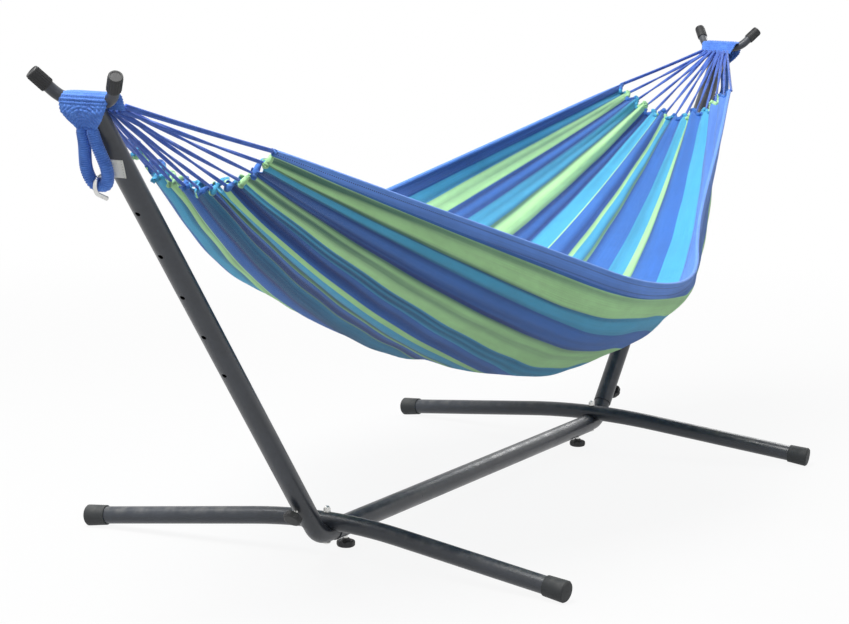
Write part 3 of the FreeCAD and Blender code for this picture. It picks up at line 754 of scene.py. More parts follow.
@dataclass(frozen=True)
class Woven(Finish):
    """Woven cloth with lengthwise stripes, each a width on the cloth's own scale and a colour."""

    stripes: tuple[tuple[float, Rgb], ...] = ()
    threads: float = 650.0
    depth: float = 0.0004
    seams: tuple[float, ...] = ()
    seam_colour: Rgb = (0.02, 0.03, 0.2)
    stitch: float = 0.005
    # Painted shade: how strongly the crease attribute darkens the colour, and the dark blue it darkens towards.
    painted_crease_shade: float = 0.0
    painted_crease_shade_colour: Rgb = (0.16, 0.24, 0.36)

    def stripe_colour(self, tree: Tree, across: bpy.types.NodeSocket) -> bpy.types.NodeSocket:
        """The stripe under a point, by a ramp of hard steps over the whole width.

        Args:
            tree: the material's tree.
            across: distance across the flat cloth.

        Returns:
            The colour.
        """
        total = sum(width for width, _ in self.stripes)
        ramp = tree.add("ShaderNodeValToRGB")
        ramp.color_ramp.interpolation = "CONSTANT"
        elements = ramp.color_ramp.elements
        start = 0.0
        for index, (width, colour) in enumerate(self.stripes):
            element = elements[0] if index == 0 else elements.new(start / total)
            element.position = start / total
            element.color = (*colour, 1.0)
            start += width
        elements.remove(elements[-1])
        tree.feed(ramp.inputs[0], tree.math("DIVIDE", across, total))
        return ramp.outputs[0]

    def build(self, groups: Groups) -> bpy.types.Material:
        """Stripes over a weave, with paler and darker yarns, painted shade in the creases and rows of stitches.

        Args:
            groups: the shared node groups.

        Returns:
            The material.
        """
        tree, shader, coordinates, material = self.shader()
        flat = coordinates.outputs["UV"]
        apart = tree.add("ShaderNodeSeparateXYZ")
        tree.feed(apart.inputs[0], flat)
        along, across = apart.outputs["X"], apart.outputs["Y"]
        wander = tree.noise(tree.stretched(flat, (5.0, 40.0, 1.0)), 1.0, 2.0)
        colour = self.stripe_colour(tree, tree.math("MULTIPLY_ADD", wander, 0.003, across))
        weave = tree.group(groups.weave, Vector=flat, Threads=self.threads)
        mottle = tree.group(groups.mottle, Vector=flat, Scale=7.0, Low=0.9, High=1.06).outputs[0]
        yarn = tree.noise(tree.stretched(flat, (1.2, 420.0, 1.0)), 1.0, 3.0)
        shade = tree.math("MULTIPLY", weave.outputs["Shade"], mottle)
        shade = tree.math("MULTIPLY", shade, tree.math("MULTIPLY_ADD", yarn, 0.3, 0.9))
        grey = tree.add("ShaderNodeCombineColor")
        for socket in grey.inputs:
            tree.feed(socket, shade)
        colour = tree.mix(1.0, colour, grey.outputs[0], "MULTIPLY")
        # Painted shade in the creases: the colour is multiplied towards the dark blue as deep as the crease
        # attribute says.
        if self.painted_crease_shade:
            crease = tree.add("ShaderNodeAttribute", attribute_name="crease").outputs["Fac"]
            grain = tree.noise(tree.stretched(flat, (2.5, 90.0, 1.0)), 1.0, 3.0)
            crease = tree.math("MULTIPLY", crease, tree.math("MULTIPLY_ADD", grain, 0.9, 0.55))
            depth = tree.math("MULTIPLY", crease, self.painted_crease_shade, clamp=True)
            colour = tree.mix(depth, colour, self.painted_crease_shade_colour, "MULTIPLY")
        height = weave.outputs["Height"]
        for seam in self.seams:
            near = tree.math("ABSOLUTE", tree.math("SUBTRACT", across, seam))
            line = tree.ranged(near, 0.0007, 0.0015, 1.0, 0.0)
            turns = tree.math("MULTIPLY", along, 2 * math.pi / self.stitch)
            dashes = tree.ranged(tree.math("SINE", turns), -0.4, 0.1)
            stitch = tree.math("MULTIPLY", line, dashes)
            colour = tree.mix(tree.math("MULTIPLY", stitch, 0.8), colour, self.seam_colour)
            height = tree.math("MULTIPLY_ADD", stitch, 1.2, height)
        tree.feed(shader.inputs["Base Color"], colour)
        self.bump(tree, shader, height, self.depth)
        return material


ROYAL = linear("3c77ca")
# The hems' royal: the same cloth as the bed's royal stripe, painted lighter because the hems face the light.
PAINTED_LIGHT_HEM_ROYAL = linear("699cf2")
TURQUOISE = linear("4fb5e0")
GREEN = linear("bcf2ae")

# The bed's stripes from its right edge, on a scale about a tenth wider than the cut cloth in metres.
BED_STRIPES = (
    (0.045, ROYAL), (0.075, GREEN), (0.080, TURQUOISE), (0.100, ROYAL), (0.120, GREEN),
    (0.090, TURQUOISE), (0.072, ROYAL), (0.022, GREEN), (0.052, TURQUOISE), (0.018, GREEN),
    (0.070, ROYAL), (0.008, GREEN), (0.075, TURQUOISE), (0.090, ROYAL), (0.110, GREEN),
    (0.100, TURQUOISE), (0.090, ROYAL), (0.085, GREEN), (0.060, TURQUOISE), (0.070, ROYAL))
BED_WIDTH = sum(width for width, _ in BED_STRIPES)

# Where marks on the flat cloth, measured from its right edge, settle across the hanging cloth, on the same
# scale: at the near end, in the middle and at the far end.  A fold takes up what lies closer together.
FLAT_MARKS = (0.0, 0.12, 0.20, 0.30, 0.42, 0.51, 0.59, 0.66, 0.744, 0.827, 0.917, 1.027, 1.127, BED_WIDTH)
SETTLED_NEAR = (0.0, 0.135, 0.178, 0.270, 0.372, 0.427, 0.507, 0.605, 0.70, 0.80, 0.90, 1.02, 1.125, BED_WIDTH)
SETTLED_MIDDLE = (0.0, 0.112, 0.185, 0.273, 0.37, 0.47, 0.58, 0.68, 0.79, 0.89, 1.0, 1.11, 1.19, BED_WIDTH)
SETTLED_FAR = (0.0, 0.29, 0.40, 0.51, 0.545, 0.612, 0.725, 0.78, 0.876, 0.968, 1.04, 1.124, 1.198, BED_WIDTH)

# Long creases: distance from the right edge of the flat cloth, half width, and depth at the near and at the far end.
# Positive ones are valleys seen from below, negative ones valleys seen from above.  The depths fold the cloth a
# little and also set how dark the painted shade in each crease is.
CREASES = (
    (0.062, 0.010, 0.55, 0.20), (0.124, 0.007, 0.75, 0.10), (0.193, 0.014, 0.60, 0.30), (0.262, 0.012, 0.35, 0.0),
    (0.302, 0.016, 0.80, -0.60), (0.352, 0.016, 0.45, 0.0), (0.440, 0.012, 0.60, 0.0), (0.488, 0.018, 0.70, -0.25),
    (0.562, 0.016, 0.55, 0.0), (0.600, 0.014, 0.0, -0.85), (0.655, 0.012, 0.80, 0.0), (0.682, 0.012, 0.0, -0.70),
    (0.730, 0.020, 0.60, 0.0), (0.800, 0.045, 0.90, 0.20), (0.838, 0.016, 0.20, -0.90), (0.905, 0.014, -0.50, -0.85),
    (0.960, 0.016, 0.45, 0.30), (1.022, 0.014, -0.60, -0.95), (1.080, 0.012, 0.40, -0.35),
    (1.136, 0.014, -0.60, -0.90), (1.205, 0.012, -0.50, -0.80), (1.262, 0.014, 0.40, -0.50),
    (1.305, 0.010, -0.50, -0.70), (1.375, 0.010, -0.50, -0.60))


class Wardrobe:
    """Every finish of the object as a material, built once."""

    def __init__(self) -> None:
        """Builds the groups and then the materials."""
        groups = Groups()
        # The stand paint's dust amount is raised so that the tops of its tubes read lighter: partly dust, partly
        # painted highlight.
        self.paint = Coated("stand_paint", roughness=0.34, colour=linear("31353c"),
                            worn=linear("484c54"), dust_and_top_light=0.34).build(groups)
        self.rubber = Coated("cap_rubber", roughness=0.68, colour=linear("232628"),
                             worn=linear("303335"), grain=1400.0, depth=0.00012, dust_and_top_light=0.2).build(groups)
        self.cap = Coated("cap_plastic", roughness=0.5, colour=linear("17181a"),
                          worn=linear("242527"), grain=1800.0, dust_and_top_light=0.15).build(groups)
        self.knob = Coated("knob_plastic", roughness=0.52, colour=linear("1b1c1e"),
                           worn=linear("292a2c"), grain=1600.0, depth=0.0001, dust_and_top_light=0.2).build(groups)
        self.zinc = Plated("zinc", roughness=0.3, metallic=1.0).build(groups)
        self.yarn = Yarn("blue_cord", roughness=0.85, sheen=0.25, colour=linear("5b90ea"),
                         shadow=linear("2c52ac")).build(groups)
        self.cord = Yarn("clew_cord", roughness=0.85, sheen=0.25, colour=linear("5078d4"),
                         shadow=linear("263c8c")).build(groups)
        self.tag = Woven("tag_cloth", roughness=0.85, sheen=0.1, stripes=((1.0, linear("ecebe2")),),
                         threads=900.0, depth=0.0002, seams=(0.0035,),
                         seam_colour=linear("c9c8bd")).build(groups)
        self.hem = Woven("hem_cloth", roughness=0.85, sheen=0.2, stripes=((2.0, PAINTED_LIGHT_HEM_ROYAL),),
                         seams=(0.008, 0.029, 1.006), painted_crease_shade=0.9).build(groups)
        self.bed = Woven("bed_cloth", roughness=0.85, sheen=0.2, stripes=BED_STRIPES,
                         painted_crease_shade=1.0).build(groups)

    def dress(self, node: str, material: bpy.types.Material) -> None:
        """Puts a material on a carried-over solid.

        Args:
            node: the solid's node.
            material: the material.
        """
        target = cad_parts[node]
        if not target.material_slots:
            target.data.materials.append(material)
        for slot in target.material_slots:
            slot.material = material


# ---------------------------------------------------------------------------------------------- the stand
@dataclass
class Stand:
    """Tubes, caps, knobs, bolts and hooks, which keep their own solids and get finishes."""

    finishes: dict[str, tuple[str, ...]] = field(default_factory=lambda: {
        "paint": ("elbow", "foot_tube", "mast", "fork"), "rubber": ("foot_caps",),
        "cap": ("fork_caps",), "knob": ("mast_knob", "beam_knob"),
        "zinc": ("mast_knob_bolt", "beam_knob_bolt", "weld_nuts", "foot_bolt", "cap_nut", "loop_hook")})

    def dress(self, wardrobe: Wardrobe) -> int:
        """Gives every rigid solid its finish.

        Args:
            wardrobe: the materials.

        Returns:
            How many solids were dressed.
        """
        wardrobe.dress("centre_beam", wardrobe.paint)
        pieces = [(name, getattr(wardrobe, finish)) for finish, names in self.finishes.items()
                  for name in names]
        for name, material in pieces:
            for end in End:
                wardrobe.dress(f"{name}_{end.label}", material)
        return 1 + 2 * len(pieces)


# ---------------------------------------------------------------------------------------------- the sling
@dataclass
class Sling:
    """The hanging shape of the cloth, from which the bed, its hems and its cord ends take their places.

    A rim is a V whose point is rounded to a radius; its share of fall goes from 0 at the ends to 1 in the
    middle.  A cross section is a cubic Bezier curve between the two rims, and its inner poles follow
    end + (middle - end) * share + belly * 4 * share * (1 - share).  Pairs are (right, left), apart from
    those of the lean, which are (sideways, upwards) but for lean_place, the lean's middle and spread in x.
    """

    reach: float = 1.170
    rounding: float = 0.698
    half_row: float = 0.163
    row_height: float = 0.901
    flare: tuple[float, float] = (0.349, 0.385)
    drop: tuple[float, float] = (0.347, 0.320)
    inward: tuple[tuple[float, float, float], ...] = ((0.254, 0.294, -0.303), (0.254, 0.340, -0.327))
    downward: tuple[tuple[float, float, float], ...] = ((0.106, 0.463, 0.079), (0.106, 0.172, 0.101))
    mid_layer: float = 0.002
    cords: int = 13
    lean: tuple[float, float] = (0.042, -0.036)
    lean_place: tuple[float, float] = (0.45, 0.40)
    lean_reach: tuple[float, float] = (0.09, 0.24)

    def slope(self, depth: float) -> float:
        """Slope of the rim's straight arms, by halving the span that holds it.

        Args:
            depth: how far the rim falls in its own plane.

        Returns:
            The slope in radians.
        """
        low, high = 0.0, math.pi / 3
        for _ in range(50):
            middle = (low + high) / 2
            fall = (self.rounding * (1 - math.cos(middle))
                    + (self.reach - self.rounding * math.sin(middle)) * math.tan(middle))
            low, high = (middle, high) if fall < depth else (low, middle)
        return low

    def share(self, x: Array, side: Side) -> Array:
        """The rim's share of fall at x: straight arms, then the circle of the rounded point.

        Args:
            x: (n,) positions along the stand.
            side: which rim.

        Returns:
            (n,) shares.
        """
        depth = math.hypot(self.flare[side.value], self.drop[side.value])
        slope = self.slope(depth)
        bend = self.rounding * math.sin(slope)
        arms = (self.reach - np.abs(x)) * math.tan(slope) / depth
        point = (depth - self.rounding + np.sqrt(self.rounding ** 2 - np.clip(x, -bend, bend) ** 2)) / depth
        return np.where(np.abs(x) > bend, arms, point)

    def poles(self, x: Array) -> Array:
        """The four (y, z) poles of the section at each x, as an (n, 4, 2) array.

        Args:
            x: (n,) positions along the stand.

        Returns:
            An (n, 4, 2) array.
        """
        share = self.share(x, Side.RIGHT)
        swell = 4 * share * (1 - share)

        def law(values: tuple[float, float, float]) -> Array:
            """End value, middle value and belly blended by the share of fall."""
            end, middle, belly = values
            return end + (middle - end) * share + belly * swell

        left_share = self.share(x, Side.LEFT)
        right_y = -(self.half_row + self.flare[0] * share)
        left_y = self.half_row + self.flare[1] * left_share
        right_z = self.row_height - self.drop[0] * share
        left_z = self.row_height - self.drop[1] * left_share
        width = left_y - right_y
        corners = [(right_y, right_z),
                   (right_y + law(self.inward[0]) * width, right_z - law(self.downward[0])),
                   (left_y - law(self.inward[1]) * width, left_z - law(self.downward[1])),
                   (left_y, left_z)]
        return np.stack([np.stack(corner, axis=-1) for corner in corners], axis=1)

    def cloth(self, x: Array, across: Array) -> Array:
        """Points of the cloth's middle layer.

        Each section's curve is walked evenly by its length; beyond a rim it goes straight on.  In the far
        half the right rim leans inwards and sags with the wall below it.

        Args:
            x: (n,) positions along the stand.
            across: (m,) or (n, m) shares of the section's length, from the right rim at 0 to the left at 1.

        Returns:
            An (n, m, 3) array.
        """
        poles = self.poles(np.clip(x, -self.reach, self.reach))
        walk = np.linspace(0.0, 1.0, 241)[None, :, None]
        weights = ((1 - walk) ** 3, 3 * walk * (1 - walk) ** 2, 3 * walk ** 2 * (1 - walk), walk ** 3)
        curve = sum(weight * poles[:, None, index, :] for index, weight in enumerate(weights))
        steps = np.linalg.norm(np.diff(curve, axis=1), axis=2)
        along = np.concatenate([np.zeros((len(x), 1)), np.cumsum(steps, axis=1)], axis=1)
        across = np.broadcast_to(across, (len(x), np.shape(across)[-1]))
        inner = np.clip(across, 0.0, 1.0)
        section = np.stack([
            np.stack([np.interp(share * length[-1], length, row[:, axis]) for axis in range(2)], axis=1)
            for share, length, row in zip(inner, along, curve)])
        beyond = (across - inner)[..., None] * along[:, -1][:, None, None]
        start = unit(curve[:, 1] - curve[:, 0])[:, None, :]
        stop = unit(curve[:, -1] - curve[:, -2])[:, None, :]
        section = section + beyond * np.where(beyond < 0, start, stop)
        place, spread = self.lean_place
        bell = np.exp(-((x - place) / spread) ** 2)[:, None]
        for axis, (lean, reach) in enumerate(zip(self.lean, self.lean_reach)):
            section[..., axis] += lean * bell * np.exp(-(inner * along[:, -1:] / reach) ** 2)
        return np.concatenate([np.broadcast_to(x[:, None, None], (*section.shape[:2], 1)), section], axis=2)

    def lengths(self, x: Array) -> Array:
        """Length of the cloth's section at each x."""
        fine = self.cloth(np.clip(x, -self.reach, self.reach), np.linspace(0.0, 1.0, 121))
        return np.linalg.norm(np.diff(fine, axis=1), axis=2).sum(axis=1)

    def settled(self, x: Array, flat: Array) -> Array:
        """Where points of the flat cloth lie across the hanging cloth.

        Args:
            x: (n,) positions along the stand.
            flat: (m,) distances from the flat cloth's right edge.

        Returns:
            (n, m) shares of each section's length.
        """
        near, middle, far = (np.interp(flat, FLAT_MARKS, marks)[None, :]
                             for marks in (SETTLED_NEAR, SETTLED_MIDDLE, SETTLED_FAR))
        to_near = smooth_step(0.0, 0.45, -x)[:, None]
        to_far = smooth_step(-0.05, 0.55, x)[:, None]
        return (middle + (near - middle) * to_near + (far - middle) * to_far) / BED_WIDTH


def cloth_normals(grid: Array) -> Array:
    """Unit normals of a grid: the cross product of its two directions of change."""
    along, across = np.gradient(grid, axis=0), np.gradient(grid, axis=1)
    return unit(np.cross(along, across))


def paint_crease_shade(piece: bpy.types.Object, depth: Array) -> None:
    """Stores the painted shade of each point, between 0 and 1, as the attribute the cloth's colour is darkened by;
    on the bed it is mostly how deep in a crease the point lies.
    """
    layer = piece.data.attributes.new("crease", "FLOAT", "POINT")
    layer.data.foreach_set("value", np.clip(depth, 0.0, 1.0).astype(np.float32).ravel())


@dataclass
class Bed:
    """The striped cloth of the bed with its gathers, folds and ripples.

    Heights are metres; a fade is the distance from the cloth's end over which a shape dies out; a wave is
    its height, its turns across the cloth and how its phase runs along it.
    """

    sling: Sling
    rows: int = 170
    columns: int = 278
    thickness: float = 0.0024
    gather: float = 0.014
    gather_fade: float = 0.08
    fold: float = 0.011
    fold_fade: float = 0.60
    pleat: float = 0.0042
    pleat_fade: float = 0.16
    waves: tuple[tuple[float, float, float], ...] = ((0.005, 4.3, 1.0), (0.003, 7.1, -1.6))
    ripple: float = 0.0012
    crease: float = 0.0022
    crease_gain: float = 1.3
    crease_wander: float = 0.006
    bag_mean: float = 0.66
    point: float = 0.023
    point_mean: float = 0.38
    near_point: float = 0.55
    end_fade: float = 0.07
    pinch: float = 0.66
    # Painted shade added over the whole lower face of the cloth, darkening its underside.
    shade: float = 0.10
    seed: int = 11
    body: str = "hammock"

    def __post_init__(self) -> None:
        """Draws how strongly each span between two cords folds, at the near and the far end."""
        draw = np.random.default_rng(self.seed)
        spans = self.sling.cords - 1
        self.near = draw.uniform(0.45, 1.35, (2, spans))
        self.far = draw.uniform(0.45, 1.35, (2, spans))
        self.drift = draw.uniform(-1.0, 1.0, spans)

    def strength(self, x: Array, across: Array, fold: Fold) -> Array:
        """Each span's own share of folding, blended along the cloth from one end's to the other's.

        Args:
            x: (n,) positions along the stand.
            across: (n, m) shares of the section's length.
            fold: what the strength is for.

        Returns:
            An (n, m) array of factors about 1.
        """
        spans = self.sling.cords - 1
        place = across * spans - 0.5
        index = np.arange(spans)
        blend = smooth_step(-0.35, 0.35, x)[:, None]
        near = np.interp(place, index, self.near[fold.value])
        far = np.interp(place, index, self.far[fold.value])
        return near * (1 - blend) + far * blend

    def creases(self, x: Array, flat: Array, inset: Array) -> Array:
        """Depth of the long creases, which folds the cloth a little and sets the painted shade in its valleys: bell
        curves across the cloth that wander a little and die out midway.

        Args:
            x: (n,) positions along the stand.
            flat: (m,) distances from the flat cloth's right edge.
            inset: (n, 1) distances from the cloth's ends.

        Returns:
            An (n, m) array, positive where the valley is seen from below.
        """
        blend = smooth_step(-0.25, 0.25, x)[:, None]
        total = np.zeros((len(x), len(flat)))
        for number, (place, width, near, far) in enumerate(CREASES):
            wander = self.crease_wander * np.sin(3.1 * x + 1.7 * number)[:, None]
            reach = 0.75 + 0.22 * math.sin(2.3 * number)
            depth = (near * (1 - blend) + far * blend) * (0.30 + 0.70 * np.exp(-(inset / reach) ** 2))
            broad = width * np.where(depth < 0, 1.5, 1.15)
            total += depth * np.exp(-((flat[None, :] - place - wander) / broad) ** 2)
        return self.crease_gain * total

    def folded(self, x: Array, flat: Array) -> tuple[Array, Array]:
        """The cloth with folds added along its normal.

        Between two cords the cloth bags out as |sin| of the distance across, strongly at the ends and less
        towards the middle; finer pleats fade within a hand's width of the ends, and long waves and a fine
        ripple run the whole way.  The end rows are drawn together and out to a point at every cord.

        Args:
            x: (n,) positions along the stand.
            flat: (m,) distances from the flat cloth's right edge, growing.

        Returns:
            The (n, m, 3) grid of points, and how deep in a fold each one lies, which is painted as shade: about 1 in
            a valley seen from below and about -1 in a valley seen from above, with painted dark valleys between the
            gathers near the ends.
        """
        spans = self.sling.cords - 1
        inset = (self.sling.reach - np.abs(x))[:, None]
        v = self.sling.settled(x, flat)
        pinch = self.pinch * np.exp(-inset / self.end_fade)
        v = v - pinch * np.sin(2 * np.pi * spans * v) / (2 * np.pi * spans)
        grid = self.sling.cloth(x, v)
        normals = cloth_normals(grid)
        turns = spans * np.pi * v
        soft = np.sqrt(np.sin(turns) ** 2 + 0.04) - self.bag_mean
        edge = smooth_step(0.0, 0.07, v) * smooth_step(0.0, 0.07, 1 - v)
        bag = soft * (self.gather * np.exp(-inset / self.gather_fade) * self.strength(x, v, Fold.GATHER)
                      + self.fold * np.exp(-inset / self.fold_fade) * self.strength(x, v, Fold.LONG))
        drift = np.interp(v * spans, np.arange(spans), self.drift)
        pleat = (self.pleat * np.exp(-inset / self.pleat_fade) * smooth_step(0.0, 0.02, inset)
                 * np.sin(2 * turns + 1.2 * drift + 1.5 * np.sin(5 * x)[:, None]))
        phase = 2.1 * np.sin(1.7 * x)[:, None]
        wave = sum(height * np.sin(2 * np.pi * count * v + share * phase) for height, count, share in self.waves)
        ripple = self.ripple * np.sin(38 * x[:, None] + 9 * np.sin(6 * v)) * np.sin(2 * np.pi * 2.2 * v + 1.0)
        crease = self.creases(x, flat, inset)
        height = bag * (0.35 + 0.65 * edge) + (wave + ripple + pleat - self.crease * crease) * edge
        near_cord = np.abs((v * spans + 0.5) % 1.0 - 0.5)
        reach_out = np.where(x < 0, self.near_point, 1.0)[:, None] * self.point
        pull = reach_out * np.exp(-inset / self.end_fade) * (np.exp(-(near_cord / 0.30) ** 2) - self.point_mean)
        grid = grid - normals * height[..., None]
        grid[..., 0] += np.sign(x)[:, None] * pull
        # Painted shade only, which does not move the cloth: dark valleys between the gathers near the ends, stronger
        # at the near end.
        near = smooth_step(0.0, 0.5, -x)[:, None]
        valleys = (0.5 + 0.35 * near) * np.exp(-inset / (0.10 + 0.05 * near)) * np.sin(2 * turns + drift)
        return grid, crease * (1 + 0.35 * near) - valleys

    def build(self, wardrobe: Wardrobe) -> bpy.types.Object:
        """Makes the cloth as two faces a thickness apart, closed round all four edges.

        Args:
            wardrobe: the materials.

        Returns:
            The piece.
        """
        spread = 0.86 * np.pi / 2
        x = self.sling.reach * np.sin(np.linspace(-spread, spread, self.rows)) / math.sin(spread)
        flat = self.flat_columns()
        middle, crease = self.folded(x, flat)
        normals = cloth_normals(middle)
        upper = middle + normals * (self.sling.mid_layer + self.thickness / 2)
        lower = middle + normals * (self.sling.mid_layer - self.thickness / 2)
        surface = Surface.of_faces(lower, upper, lattice(x, flat))
        piece = make_piece("bed_cloth", surface, self.body, wardrobe.bed)
        # Painted shade: the crease mask darkens each face's valleys, and the lower face gets further shade
        # everywhere.
        paint_crease_shade(piece, np.concatenate([crease + self.shade, -crease[:, ::-1]], axis=1))
        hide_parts("hammock_bed")
        return piece

    def flat_columns(self) -> Array:
        """Distances of the mesh's columns from the flat right edge, close where the cloth settles wide."""
        even = np.linspace(0.0, BED_WIDTH, self.columns)
        return np.interp(even, np.mean([SETTLED_NEAR, SETTLED_FAR], axis=0), FLAT_MARKS)


@dataclass
class SideHem:
    """A rolled hem along one rim: the cloth's edge turned in twice and stitched down."""

    bed: Bed
    side: Side
    outer: float = 0.037
    inner: float = 0.040
    turned: float = 0.127
    roll: float = 0.0046
    cover: float = 0.0021
    start: float = 0.004
    reach: float = 0.16
    body: str = "hammock"

    def build(self, wardrobe: Wardrobe) -> bpy.types.Object:
        """Carries a flat hook-shaped profile along the rim.

        The profile runs up the outer face, round the rolled edge, down the inner face and back inside the
        cloth.  Its widths keep their share of the section's length, and on the right the inner turn is wide
        enough to cover the cloth's first two stripes.

        Args:
            wardrobe: the materials.

        Returns:
            The piece.
        """
        sling = self.bed.sling
        x = np.linspace(-sling.reach, sling.reach, 420)
        lengths = sling.lengths(x)
        outer = self.outer * lengths / lengths.max()
        inner = self.inner * lengths / lengths.max()
        if self.side is Side.RIGHT:
            inner = sling.settled(x, np.array([self.turned]))[:, 0] * lengths
        share = np.linspace(1.0, 0.0, 14) ** 1.4
        flat_outer = self.start + (outer[:, None] - self.start) * share
        flat_inner = self.start + (inner[:, None] - self.start) * np.linspace(0.0, 1.0, 44) ** 1.15
        turn = np.linspace(-np.pi / 2, np.pi / 2, 9)[None, :] + 0 * x[:, None]
        back = inner[:, None] + (outer - inner)[:, None] * np.linspace(0.0, 1.0, 30) + 0.001
        distance = np.concatenate([flat_outer, -self.roll * 0.9 * np.cos(turn), flat_inner, back], axis=1)
        height = np.concatenate([-self.lift(flat_outer), self.roll * np.sin(turn), self.lift(flat_inner),
                                 0 * back], axis=1)
        grid = self.placed(x, lengths, distance, height)
        faces_out = len(share) + turn.shape[1] // 2
        marks = np.concatenate([distance[:, :faces_out], 1.0 + (inner[:, None] - distance[:, faces_out:])],
                               axis=1)
        uv = np.stack([np.repeat(x[:, None], distance.shape[1], axis=1), marks], axis=2)
        surface = Surface.of_grid(grid, uv, closed=True)
        label = f"side_hem_{self.side.name.lower()}"
        piece = make_piece(label, surface, self.body, wardrobe.hem)
        # Painted shade: the outer face darkens away from the rolled edge, the left hem's inner face is darkened
        # almost all over, and a slow wave along the rim adds or takes away a little.
        shade = 0.35 * smooth_step(0.35, 1.0, distance / outer[:, None])
        if self.side is Side.LEFT:
            shade[:, faces_out:] = smooth_step(0.02, 0.16, distance / inner[:, None])[:, faces_out:]
        paint_crease_shade(piece, shade + 0.12 * np.sin(9 * x + 2 * np.sin(5 * x))[:, None])
        return piece

    def lift(self, distance: Array) -> Array:
        """How far a face stands off the cloth: the roll's height at the edge, falling to a thin layer."""
        return self.cover + (self.roll - self.cover) * np.exp(-((distance - self.start) / 0.006) ** 2)

    def placed(self, x: Array, lengths: Array, distance: Array, height: Array) -> Array:
        """Profile points set on the cloth.

        Args:
            x: (n,) positions along the stand.
            lengths: (n,) lengths of the sections.
            distance: (n, m) distances from the rim.
            height: (n, m) heights off the cloth.

        Returns:
            (n, m, 3) points: the cloth's own at that distance, moved along its normal.
        """
        flat = np.linspace(0.0, self.reach, 97)
        left = self.side is Side.LEFT
        across = BED_WIDTH - flat[::-1] if left else flat
        cloth = self.bed.folded(x, across)[0]
        normals = cloth_normals(cloth)
        marks = self.bed.sling.settled(x, across)
        if left:
            cloth, normals, marks = cloth[:, ::-1], normals[:, ::-1], 1 - marks[:, ::-1]
        marks = marks * lengths[:, None]
        index = np.stack([np.interp(row, mark, np.arange(len(flat)))
                          for row, mark in zip(distance, marks)])
        index += np.minimum(distance, 0.0) / marks[:, 1:2]
        low = np.clip(index.astype(int), 0, len(flat) - 2)
        part = (index - low)[..., None]
        rows = np.arange(len(x))[:, None]
        points = cloth[rows, low] * (1 - part) + cloth[rows, low + 1] * part
        return points + normals[rows, low] * (height[..., None] + self.bed.sling.mid_layer)


@dataclass
class EndHem:
    """The gathered hem across one end: a rolled edge that scallops between the cords."""

    bed: Bed
    end: End
    radius: float = 0.0074
    lumps: int = 67
    lump: float = 0.20
    ridge: float = 0.10
    back: float = 0.003
    body: str = "hammock"

    def build(self, wardrobe: Wardrobe) -> bpy.types.Object:
        """A lumpy tube along the bed's own end row, thicker where the cords bunch it.

        A section's radius is r * (0.7 + 0.2 * (1 - lobe)^2) * (1 + lump * sin(phase) + ridge * sin(3 * angle + 2 *
        phase)), with painted shade in its grooves.

        Args:
            wardrobe: the materials.

        Returns:
            The piece.
        """
        sling = self.bed.sling
        flat = self.bed.flat_columns()
        x = (sling.reach - np.array([0.004, 0.0])) * self.end.value
        before, row = self.bed.folded(x, flat)[0]
        tangent = unit(np.gradient(row, axis=0))
        rise = unit(np.cross(row - before, tangent) * self.end.value)
        side = np.cross(tangent, rise)
        row = row + rise * sling.mid_layer
        row[:, 0] -= self.back * self.end.value
        place = sling.settled(x[1:], flat)[0]
        lobe = np.abs(np.sin((sling.cords - 1) * np.pi * place))
        turn = ring_angles(16)
        phase = 2 * np.pi * (place * self.lumps + 0.6 * np.sin(2 * np.pi * place * 11))
        swell = self.radius * (0.70 + 0.20 * (1 - lobe) ** 2)
        ends = np.sqrt(np.clip(1 - np.abs(2 * place - 1) ** 90, 0.0, 1.0))
        ridges = np.sin(3 * turn[None, :] + 2 * phase[:, None])
        lumps = 1 + self.lump * np.sin(phase)[:, None] + self.ridge * ridges
        size = (swell * np.maximum(ends, 0.02))[:, None] * lumps
        uv = lattice(flat, turn * self.radius + sling.reach + 0.03)[..., ::-1]
        surface = Surface.of_grid(tube_grid(row, (side, rise), size), uv, closed=True)
        piece = make_piece(f"end_hem_roll_{self.end.label}", surface, self.body, wardrobe.bed)
        # Painted shade in the grooves between the lumps.
        paint_crease_shade(piece, 2.2 * (1.05 - lumps))
        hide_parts(f"end_hem_{self.end.label}")
        return piece


